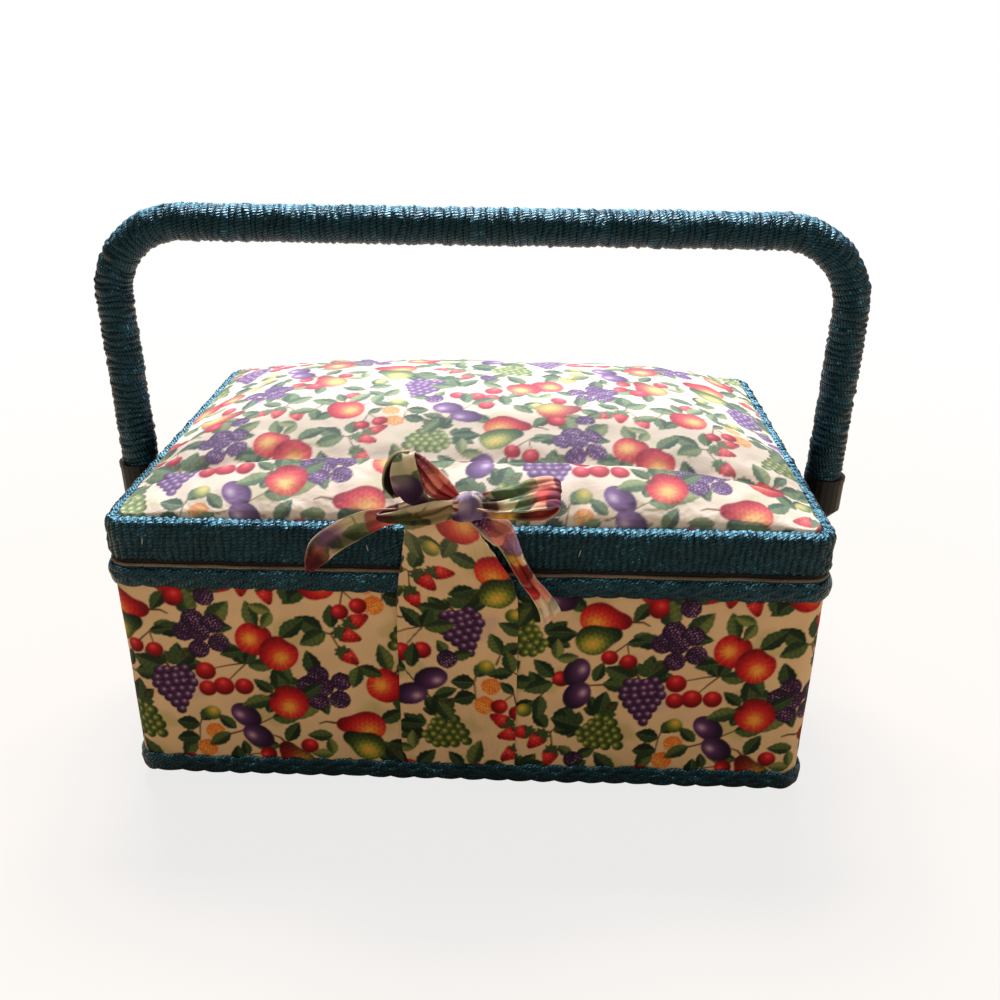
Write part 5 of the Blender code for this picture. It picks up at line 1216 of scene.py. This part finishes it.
def build_strap():
    """Printed strap: sewn to the body at its foot, over the braid and the band, and drawn in to the knot."""
    body_face = COVER_LOW[1] - 0.75
    braid_face = BRAID_LOW[1] - 1.0
    band_face = (FLAP_LOW[1] + KNOT_HIGH[1]) / 2
    foot = TRIM_HIGH[2] + 0.2
    fold = STRAP_HIGH[2]
    top = KNOT_LOW[2] + 1.0
    # Level, depth, how far the left and right edges are drawn in, lift and pleats
    outline = [
        (foot, body_face - 0.3, 0.6, -0.4, 0.0, 0.0), (foot + 12, body_face, 0.2, -0.2, 0.2, 0.0),
        (fold - 20, body_face, 0.0, 0.0, 0.3, 0.0), (fold, body_face, 0.0, 0.0, 0.3, 0.0),
        (92, body_face - 0.9, 0.3, 0.0, 0.0, 0.0), (101, braid_face - 0.3, 0.9, -0.6, 0.0, 0.0),
        (109, braid_face - 0.6, 2.0, -3.4, 0.0, 0.0), (116, band_face, 3.2, -7.2, 0.0, 0.10),
        (125, band_face, 4.4, -13.0, 0.0, 0.25), (131, band_face, 5.2, -17.0, 0.0, 0.4),
        (top, band_face - 0.4, 6.4, -19.4, 0.0, 0.5),
    ]
    rows = []
    for level, y, from_left, from_right, lift, pleat in outline:
        left, right = STRAP_LOW[0] + from_left, STRAP_HIGH[0] + from_right
        rows.append(((left + right) / 2, y, level, (right - left) / 2, 0.0, 0.0, lift, pleat))
    # The spot at the strap's top lightens its print towards pale cream: painted light on the upper strap
    piece, length, area = cloth_strip("closing_strap", rows, "shaded_body_print", 260, 101, 0.22, 60, (40, 70),
                                      pleats=2.5, thickness=STRAP_CLOTH,
                                      accent_and_light_spots=((1.02, 0.0, 0.20, 4.0, (1.0, 0.97, 0.92), 0.38),))
    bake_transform(piece)
    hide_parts("strap_lower", "strap_flap")


def right_loop():
    """Rows of the right loop: out along its lower side, round its end and back along the upper side."""
    root = np.array((5.2, -0.4, 142.8))
    outward, wide, deep = unit(np.array([(0.985, -0.05, 0.17), (0.03, 0.85, 0.52), (0, -0.52, 0.85)]))
    length, width, depth = 31.0, 17.4, 12.0
    root_width, root_depth, end_taper, steps = 6.6, 3.0, 0.36, 14
    rows = []
    for step in range(steps + 1):
        turn = -math.pi + math.tau * step / steps
        along = (1 + math.cos(turn)) / 2
        swell = math.sin(turn) * along ** 2.1
        side = -1 if step < steps / 2 else 1
        centre = root + outward * length * along
        centre = centre + deep * (depth / 2 * swell + side * root_depth / 2 * (1 - along))
        half = wide * (root_width + (width - root_width) * along ** 0.6) / 2 * (1 - end_taper * along ** 7)
        rows.append((*centre, *half, 1 - along, (1 - along) ** 1.3 + 0.12))
    return rows


# Solid that a piece of the bow takes over, the piece's name and rows, its print's place and turn, its pleats,
# its spots, which are accents of the print and on some pieces painted light or shade, and the spots on its
# inner face, which are painted shade
BOW_LOOPS = (
    ("bow_loop_top", "standing_loop_behind", STANDING_BEHIND, (18, 38), 35, 3.0,
     ((0.45, 0.0, 0.55, 3.0, PINK, 0.72), (0.45, 0.25, 0.5, 0.16, WINE, 0.45)), ()),
    ("bow_loop_top", "standing_loop_front", STANDING_FRONT, (64, 92), 10, 1.4,
     ((0.35, -0.2, 0.30, 0.9, SAGE, 0.55), (0.80, 0.1, 0.24, 1.3, PLUM, 0.85),
      (0.18, 0.4, 0.12, 0.5, PALE, 0.6)), ()),
    # The hollow's near-black spot is partly a dark accent of the print and partly painted shadow inside the
    # hollow
    ("bow_loop_top", "standing_loop_hollow", STANDING_HOLLOW, (30, 20), 0, 0.6,
     ((0.45, 0.2, 0.60, 1.2, (0.13, 0.06, 0.06), 0.94),
      (0.80, -1.0, 0.42, 0.34, (0.74, 0.78, 0.64), 0.9)), ()),
    # The left loop's olive spot is painted shade on its lower band, and its pale spot along the upper edge a
    # painted highlight
    ("bow_loop_left", "left_loop", LEFT_LOOP, (70, 10), 80, 2.4,
     ((0.22, -0.2, 0.34, 1.1, OLIVE, 0.62), (0.46, 0.0, 0.08, 2.0, WINE, 0.6),
      (0.24, 1.0, 0.30, 0.26, PALE, 0.85)), ()),
    ("bow_loop_right", "right_loop", right_loop(), (100, 60), 80, 2.4,
     ((0.80, 0.2, 0.20, 1.2, SAGE, 0.45), (0.60, 0.1, 0.10, 1.1, PINK, 0.62),
      (0.40, -0.9, 0.12, 0.4, PINK, 0.8), (0.16, -0.8, 0.09, 0.6, SUN, 0.85),
      (0.27, -0.7, 0.05, 0.5, SOOT, 0.8), (0.92, -0.6, 0.06, 0.6, WINE, 0.5)),
     # Spots on the right loop's inner face: painted shade inside the loop's end
     ((0.50, 0.0, 0.16, 2.5, WINE, 0.92), (0.36, 0.0, 0.10, 2.5, (0.62, 0.22, 0.20), 0.6))),
)
BOW_TAILS = (
    ("bow_tail_right", "right_tail", RIGHT_TAIL, (118, 84), 20, 2.2,
     ((0.24, 0.0, 0.12, 1.6, PINK, 0.72), (0.36, 0.5, 0.08, 0.8, (0.70, 0.62, 0.78), 0.8),
      (0.20, -1.0, 0.24, 0.3, PALE, 0.8), (0.47, -0.1, 0.07, 0.8, SUN, 0.7),
      (0.63, 0.0, 0.13, 0.8, (0.58, 0.12, 0.14), 0.75), (0.78, 0.7, 0.10, 0.4, PINK, 0.7),
      (0.98, 0.0, 0.13, 3.0, PALE, 0.85)), ()),
    ("bow_tail_left", "left_tail", LEFT_TAIL, (30, 96), 60, 2.2,
     ((0.50, 0.3, 0.24, 1.0, (0.76, 0.80, 0.68), 0.55), (0.74, 0.4, 0.09, 0.9, (0.50, 0.36, 0.58), 0.8),
      (0.68, -0.7, 0.12, 0.5, (0.20, 0.24, 0.15), 0.7), (0.85, 0.0, 0.05, 0.8, PINK, 0.55),
      (0.93, 0.0, 0.08, 2.5, WINE, 0.75)), ()),
)


def build_bow():
    """Standing loop, two side loops, two tails and the knot."""
    knot = (KNOT_LOW + KNOT_HIGH) / 2
    for table, base_y, count, across_count, crease, seed in (
            (BOW_LOOPS, knot[1], 170, 41, 0.34, 70), (BOW_TAILS, KNOT_HIGH[1] - 1.5, 150, 37, 0.3, 80)):
        for node_name, name, rows, place, turn, pleats, accent_and_light_spots, inner_painted_shade in table:
            rows = [(x, base_y + y, *rest) for x, y, *rest in rows]
            piece, length, area = cloth_strip(
                name, rows, "shaded_bow_print", count, across_count, crease, seed + len(name), place, turn, pleats,
                raw_edge=0.35, accent_and_light_spots=accent_and_light_spots, inner_painted_shade=inner_painted_shade)
            dress(piece, "strap", "printed_cloth", node_name)
    build_knot(knot)


def build_knot(knot):
    """Band of cloth drawn round the middle of the bow, with tight folds."""
    half = (KNOT_HIGH - KNOT_LOW) / 2
    share, angle = grid(np.linspace(-1, 1, 60), round_angles(72))
    cos, sin = np.cos(angle), np.sin(angle)
    squeeze = np.sqrt(clamp(1 - (0.92 * share) ** 4))
    folds = 1 + 0.10 * np.sin(7 * angle + 1.6 * share) + 0.05 * np.sin(13 * angle - 2.1 * share + 1)
    x = knot[0] + 0.2 + (half[0] + 0.9) * squeeze * folds * np.sign(cos) * np.abs(cos) ** 0.8
    y = knot[1] + half[1] * squeeze * folds * np.sign(sin) * np.abs(sin) ** 0.8
    z = knot[2] + half[2] * share + 0.5 * cos
    left = 0.9 * clamp(0.3 - cos)
    print_colour = mix(PrintedCotton(angle * 6 + 98, share * 7 + 40).colour, (0.66, 0.64, 0.80), 0.6)
    for colour, place, reach in (((0.96, 0.94, 0.90), 0.45, 0.5), ((0.16, 0.10, 0.24), -0.6, 0.4)):
        print_colour = mix(print_colour, colour, (left * np.exp(-((share - place) / reach) ** 2)).ravel())
    piece = grid_object("knot", np.stack([x, y, z], -1), "shaded_bow_print", close_columns=True, cap_ends=True,
                        print_colour=print_colour, flip=True)
    dress(piece, "strap", "printed_cloth", "bow_knot")


# Cloth inside, edging and small metal

BINDING_STEP = 0.7
BINDING_STITCH = 3.4
LINING_SKIN = 1.0
LINING_BEND = 3.0
LINING_PUCKERS = 140
PANEL_CORNER = 4.5
POCKET_HEM = 5.0
POCKET_GATHER = 6.2
SCREW_RADIUS = 1.7
SCREW_RISE = 0.7
STAPLE_WIRE = 0.2

# Hinge leaf, the body that it is on, where its face lies and the level of its screws
HINGE_LEAVES = (("body", "basket", 106.55, 103.6), ("lid", "lid", 105.25, 119.2))

# Place along the band, level and lean of each staple
STAPLES = ((-127.5, 119.8, 0.10), (-38.5, 119.2, -0.22), (44.5, 119.0, 0.25))


def build_binding():
    """Near-black cloth folded over the top of the body's walls, standing in for the shadow in the gap under
    the band, with a thin tan piping along its outer edge.
    """
    track = Track(BODY_HALF, BODY_CORNER)
    low, high = box("rim_edging")
    bottom, top = low[2], high[2]
    fold = [
        (-5.5, bottom + 0.3, 0), (-5.75, bottom + 1.2, 0), (-5.3, top - 0.3, 0), (-4.2, top - 0.05, 0),
        (-2.6, top - 0.1, 0), (-1.2, top - 0.4, 0), (-0.75, top - 1.0, 0), (-0.7, bottom + 0.6, 0),
        (-0.9, bottom - 0.1, 0), (-2.6, bottom - 0.1, 0),
    ]
    piping = [
        (-0.75, bottom + 0.55, 0), (-0.2, bottom + 1.05, 0), (0.45, bottom + 0.9, 0), (0.72, bottom + 0.4, 0),
        (0.4, bottom - 0.1, 0), (-0.6, bottom - 0.15, 0),
    ]
    stitches = round(track.total / BINDING_STITCH)
    distance = track.steps(round(track.total / BINDING_STEP))
    strips = (("rim_shadow_fold", fold, "shadow_black_cloth", 26), ("rim_piping", piping, "edging", 14))
    for name, outline, material, count in strips:
        profile, _ = smooth_rows(outline, count)
        s, j = grid(distance, np.arange(len(profile)))
        ring_x, ring_y = track.ring(s)
        stitch = 0.5 + 0.5 * np.cos(math.tau * stitches * s / track.total)
        offset = profile[j]
        outer = clamp((offset[..., 0] + 1.5) / 1.5)
        reach = offset[..., 0] + outer * (0.22 * ripple(ring_x, ring_y, 17, 151) - 0.2 * stitch ** 3)
        level = offset[..., 1] + 0.16 * ripple(ring_x, ring_y, 26, 152) - 0.12 * stitch ** 3
        piece = grid_object(name, track.shell(s, reach, level), material, close_rows=True, close_columns=True,
                            folds=6)
        dress(piece, "basket", "tan_edging", "rim_edging")


def build_lining():
    """Lining cloth down the walls and over the floor, with soft folds and puckers under the binding."""
    low, high = box("body_lining")
    half = (high - low)[:2] / 2 - LINING_SKIN
    track = Track(half, 3.4)
    floor_level = low[2] + LINING_SKIN
    bend_level = floor_level + LINING_BEND
    profile = [(0.0, level) for level in np.linspace(high[2], bend_level, 90)]
    profile += [(LINING_BEND - LINING_BEND * math.cos(turn), bend_level - LINING_BEND * math.sin(turn))
                for turn in np.linspace(0, math.pi / 2, 8)[1:]]
    floor = np.linspace(0, 1, 60)[1:]
    shrink = np.concatenate([np.zeros(len(profile)), floor * 0.985])
    profile = np.array(profile + [(LINING_BEND, floor_level)] * len(floor))
    s, j = grid(track.steps(900), np.arange(len(profile)))
    place, out = track.at(s)
    ring_x, ring_y = track.ring(s)
    depth = high[2] - profile[j][..., 1]
    folds = 0.22 * ripple(ring_x, ring_y + depth * 0.25, 24, 161)
    folds = folds + 0.12 * ripple(ring_x, ring_y + depth, 9, 162)
    pucker = 0.25 * np.cos(math.tau * LINING_PUCKERS * s / track.total) * np.exp(-depth / 3)
    inward = np.clip(folds + pucker + 0.25, 0, 0.6) * clamp(depth)
    inward = np.where(shrink[j] > 0, 0.0, inward)
    place = place - out * (profile[j][..., 0] + inward)[..., None]
    middle = np.array([0.0, CENTRE_Y])
    place = middle + (place - middle) * (1 - shrink[j])[..., None]
    wavy = 0.35 * (1 + ripple(place[..., 0], place[..., 1], 40, 163))
    level = profile[j][..., 1] + np.where(shrink[j] > 0, wavy, 0)
    piece = grid_object("body_lining_cloth", np.concatenate([place, level[..., None]], -1), "lining",
                        close_rows=True, flip=True, folds=3)
    dress(piece, "basket", "lining_cloth", "body_lining")


def build_flat_cloth(name, node_name, body, puff):
    """Cloth stretched over the underside of a panel, turned up at its edges."""
    low, high = box(node_name)
    half = (high - low)[:2] / 2
    middle = (high + low)[:2] / 2
    u, v = grid(np.linspace(-1, 1, 280), np.linspace(-1, 1, 190))
    y = v * half[1]
    x = u * corner_reach(y, half, PANEL_CORNER)
    edge = np.minimum(half[0] - np.abs(x), half[1] - np.abs(y))
    soft = clamp(edge / 6)
    sag = puff * (0.5 + 0.5 * ripple(x, y, 46, 171)) * soft
    sag = sag + 0.12 * ripple(x, y, 8, 172) * np.exp(-edge / 10) * soft
    turned = clamp(1 - edge) ** 2 * (high[2] - low[2] - 0.2)
    points = np.stack([x + middle[0], y + middle[1], low[2] - sag + turned], -1)
    piece = grid_object(name, points, "lining", flip=True)
    dress(piece, body, "lining_cloth", node_name)


def build_pocket():
    """Pocket gathered on elastic at its mouth, full at its bottom seam."""
    low, high = box("lid_pocket")
    half_width = (high[0] - low[0]) / 2
    inner = np.linspace(POCKET_HEM, 0.4, 10)
    steps = np.concatenate([inner, np.linspace(0.0, high[1] - low[1], 110)])
    x, j = grid(np.linspace(-1, 1, 520) * half_width, np.arange(len(steps)))
    depth = steps[j]
    share = depth / (high[1] - low[1])
    side = clamp((half_width - np.abs(x)) / 5) ** 0.5
    belly = (1.5 + 1.2 * share) * clamp((1 - share) / 0.05) ** 0.6
    wander = x + 1.6 * ripple(x, depth, 24, 181)
    gathers = 0.42 * np.exp(-share / 0.22) + 0.34 * np.exp(-(1 - share) / 0.16) + 0.08
    gathers = gathers * np.cos(math.tau * wander / POCKET_GATHER)
    frill = 0.22 * np.cos(math.tau * x / 2.9) * clamp(1 - np.abs(depth - 2.5) / 3)
    casing = -0.35 * np.exp(-((depth - POCKET_HEM) / 0.5) ** 2)
    drop = (belly + gathers + frill + casing) * side
    drop = np.where(j < len(inner), np.clip(drop - 0.7, 0.1, None), np.clip(drop, 0.05, None))
    points = np.stack([x + (high[0] + low[0]) / 2, low[1] + depth, high[2] - drop], -1)
    piece = grid_object("lid_pocket_cloth", points, "lining", flip=True)
    dress(piece, "lid", "lining_cloth", "lid_pocket")


def build_closure(name, node_name, body, nap):
    """Patch of fastening tape with its pile or hooks."""
    low, high = box(node_name)
    middle, half = (low + high) / 2, (high - low) / 2
    rows = [(middle[0], middle[1], level, half[0], 0, 0, 0, 0) for level in np.linspace(low[2], high[2], 5)]
    piece, length, _ = cloth_strip(name, rows, "hook_tape", 60, 90, 0.0, 50,
                                   thickness=2 * half[1] - 0.25, nap=nap)
    dress(piece, body, "hook_tape", node_name)


def build_hinge_screws():
    """Domed and slotted screw heads that look backwards out of the hinge leaves."""
    share, angle = grid(np.linspace(0.02, 1, 16), round_angles(40))
    u, v = SCREW_RADIUS * share * np.cos(angle), SCREW_RADIUS * share * np.sin(angle)
    dome = SCREW_RISE * np.sqrt(clamp(1 - 0.96 * share ** 2))
    for side in SIDES:
        for leaf, body, face, level in HINGE_LEAVES:
            low, high = box(f"hinge_leaf_{leaf}_{side}")
            for index, place in enumerate((0.22, 0.78)):
                turn = 0.5 + 1.3 * index + face
                across = np.abs(u * math.cos(turn) + v * math.sin(turn))
                slot = clamp((0.20 * SCREW_RADIUS - across) / (0.06 * SCREW_RADIUS))
                slot = slot * clamp((0.9 - share) / 0.1)
                x = low[0] + (high[0] - low[0]) * place + u
                y = face - 0.05 + (dome - 0.55 * SCREW_RISE * slot)
                name = f"hinge_screw_{leaf}_{side}_{index + 1}"
                dress(grid_object(name, np.stack([x, y, level + v], -1), "brass"), body, "brass")


def build_staples():
    """Wire staples that hold down the ends of the band's cord."""
    path = np.array([(-1.5, 0.7), (-1.5, 0.0), (-1.2, -0.15), (1.2, -0.15), (1.5, 0.0), (1.5, 0.7)])
    angle = round_angles(10)[None, :, None]
    for index, (x, level, lean) in enumerate(STAPLES):
        centre = np.stack([x + path[:, 0] * math.sin(lean), BAND_LOW[1] + path[:, 1],
                           level + path[:, 0] * math.cos(lean)], -1)
        side = np.array([math.cos(lean), 0.0, -math.sin(lean)])
        up = np.cross(side, unit(np.gradient(centre, axis=0)))
        points = centre[:, None] + STAPLE_WIRE * (side * np.cos(angle) + up[:, None] * np.sin(angle))
        piece = grid_object(f"band_staple_{index + 1}", points, "steel", close_columns=True, cap_ends=True)
        dress(piece, "lid", "steel")


def build_pin_cushion():
    """Small square cushion, gathered at its seam."""
    low, high = box("pin_cushion")
    middle, half = (low + high) / 2, (high - low) / 2
    rise, angle = grid(np.linspace(0, 1, 90), round_angles(140))
    cos, sin = np.cos(angle), np.sin(angle)
    swell = np.cos(rise * math.pi / 2) ** 0.6 * 0.98 + 0.02
    gather = 1 - 0.018 * (0.5 + 0.5 * np.cos(angle * 34)) * (1 - rise)
    x = middle[0] + half[0] * (np.sign(cos) * np.abs(cos) ** 0.5) * swell * gather
    y = middle[1] + half[1] * (np.sign(sin) * np.abs(sin) ** 0.5) * swell * gather
    z = high[2] - (high[2] - low[2]) * np.sin(rise * math.pi / 2) ** 0.9
    piece = grid_object("pincushion_cloth", np.stack([x, y, z], -1), "lid_print", close_columns=True,
                        cap_ends=True, print_colour=PrintedCotton(x + 15, y + 40).colour, flip=True)
    dress(piece, "lid", "printed_cloth", "pin_cushion")


# Floor, light and camera

def build_floor():
    """Pale floor that keeps the basket's shadow and turns into the white of the backdrop further off."""
    size = 8.0
    corners = [(-size, -size, 0), (size, -size, 0), (size, size, 0), (-size, size, 0)]
    mesh = bpy.data.meshes.new("floor")
    mesh.from_pydata(corners, [], [(0, 1, 2, 3)])
    shading, shader = new_material("floor")
    shading.feed(shader, {"Base Color": (0.54, 0.43, 0.32, 1), "Roughness": 0.9, "Specular IOR Level": 0.1})
    place = shading.add("TexCoord")["Object"]
    distance = shading.add("VectorMath", {0: place}, operation="LENGTH")["Value"]
    share = shading.add("MapRange", {"Value": distance, "From Min": 0.22, "From Max": 0.75,
                                     "To Min": 0.80, "To Max": 1.0})[0]
    glow = shading.add("Emission", {"Color": (1, 1, 1, 1)})[0]
    seen = shading.math("MULTIPLY", shading.add("LightPath")["Is Camera Ray"], share)
    blend = shading.add("MixShader", {"Fac": seen, 1: shader.outputs[0], 2: glow})[0]
    shading.feed(shading.nodes["Material Output"], {"Surface": blend})
    mesh.materials.append(MATERIALS["floor"])
    add_object("floor", mesh)


def build_world():
    """Soft warm light from all round, with white where the camera sees past the floor."""
    world = bpy.context.scene.world = bpy.data.worlds.new("studio")
    shading = Shading(world)
    light = shading.nodes["Background"]
    shading.feed(light, {"Color": (1.0, 0.92, 0.82, 1), "Strength": 0.20})
    white = shading.add("Background", {"Color": (1, 1, 1, 1), "Strength": 1.0})[0]
    seen = shading.add("LightPath")["Is Camera Ray"]
    blend = shading.add("MixShader", {"Fac": seen, 1: light.outputs[0], 2: white})[0]
    shading.feed(shading.nodes["World Output"], {"Surface": blend})


def add_lamp(name, place, target, size, power, colour):
    """Soft square lamp, with its power in watts."""
    lamp = bpy.data.lights.new(name, "AREA")
    lamp.shape = "RECTANGLE"
    lamp.size, lamp.size_y = size
    lamp.energy = power
    lamp.color = colour
    holder = add_object(name, lamp)
    holder.location = place
    holder.rotation_euler = (Vector(target) - Vector(place)).to_track_quat("-Z", "Y").to_euler()


def build_camera():
    """Camera at the photograph's place, found from the basket's corners."""
    pitch, yaw, roll = math.radians(24.77), math.radians(-1.69), math.radians(0.6)
    data = bpy.data.cameras.new("camera")
    data.lens = 36.57
    data.sensor_width = 36.0
    camera = bpy.context.scene.camera = add_object("camera", data)
    camera.matrix_world = (Matrix.Translation((0.0236, -0.44745, 0.30343)) @ Matrix.Rotation(-yaw, 4, "Z")
                           @ Matrix.Rotation(math.pi / 2 - pitch, 4, "X") @ Matrix.Rotation(roll, 4, "Z"))


build_camera()
build_cover()
build_cushion()
build_band()
build_plait("upper_plait", "upper_braid", 0.0, (BRAID_LOW[2] + BRAID_HIGH[2]) / 2 - 0.4, spread=2.3,
            depth=1.1, strand_width=4.0, strand_thickness=2.0, cycle=27.0, seed=101, wave=0.3)
build_plait("lower_plait", "lower_trim", 0.4, (TRIM_LOW[2] + TRIM_HIGH[2]) / 2, spread=2.5,
            depth=0.7, strand_width=4.2, strand_thickness=1.9, cycle=31.0, seed=121, wave=0.4)
build_backing()
build_handle_winding()
build_strap()
build_bow()
build_binding()
build_lining()
build_flat_cloth("lid_lining_cloth", "lid_lining", "lid", 0.5)
build_flat_cloth("base_cloth", "base_panel", "basket", 0.25)
build_pocket()
build_closure("closure_loops", "closure_patch_lid", "lid", 0.22)
build_closure("closure_hooks", "closure_patch_strap", "strap", 0.18)
build_hinge_screws()
build_staples()
build_pin_cushion()
build_floor()
build_world()
add_lamp("key", (-0.12, 1.12, 2.0), (0, 0, 0.12), (1.3, 0.9), 110.0, (0.99, 0.97, 1.0))
add_lamp("side", (1.3, -0.2, 0.7), (0, 0, 0.1), (0.8, 0.8), 2.5, (1.0, 0.90, 0.78))
add_lamp("front", (-0.3, -1.4, 0.55), (0, 0, 0.08), (1.2, 0.8), 2.35, (1.0, 0.75, 0.50))
bpy.context.scene.view_settings.view_transform = "Standard"
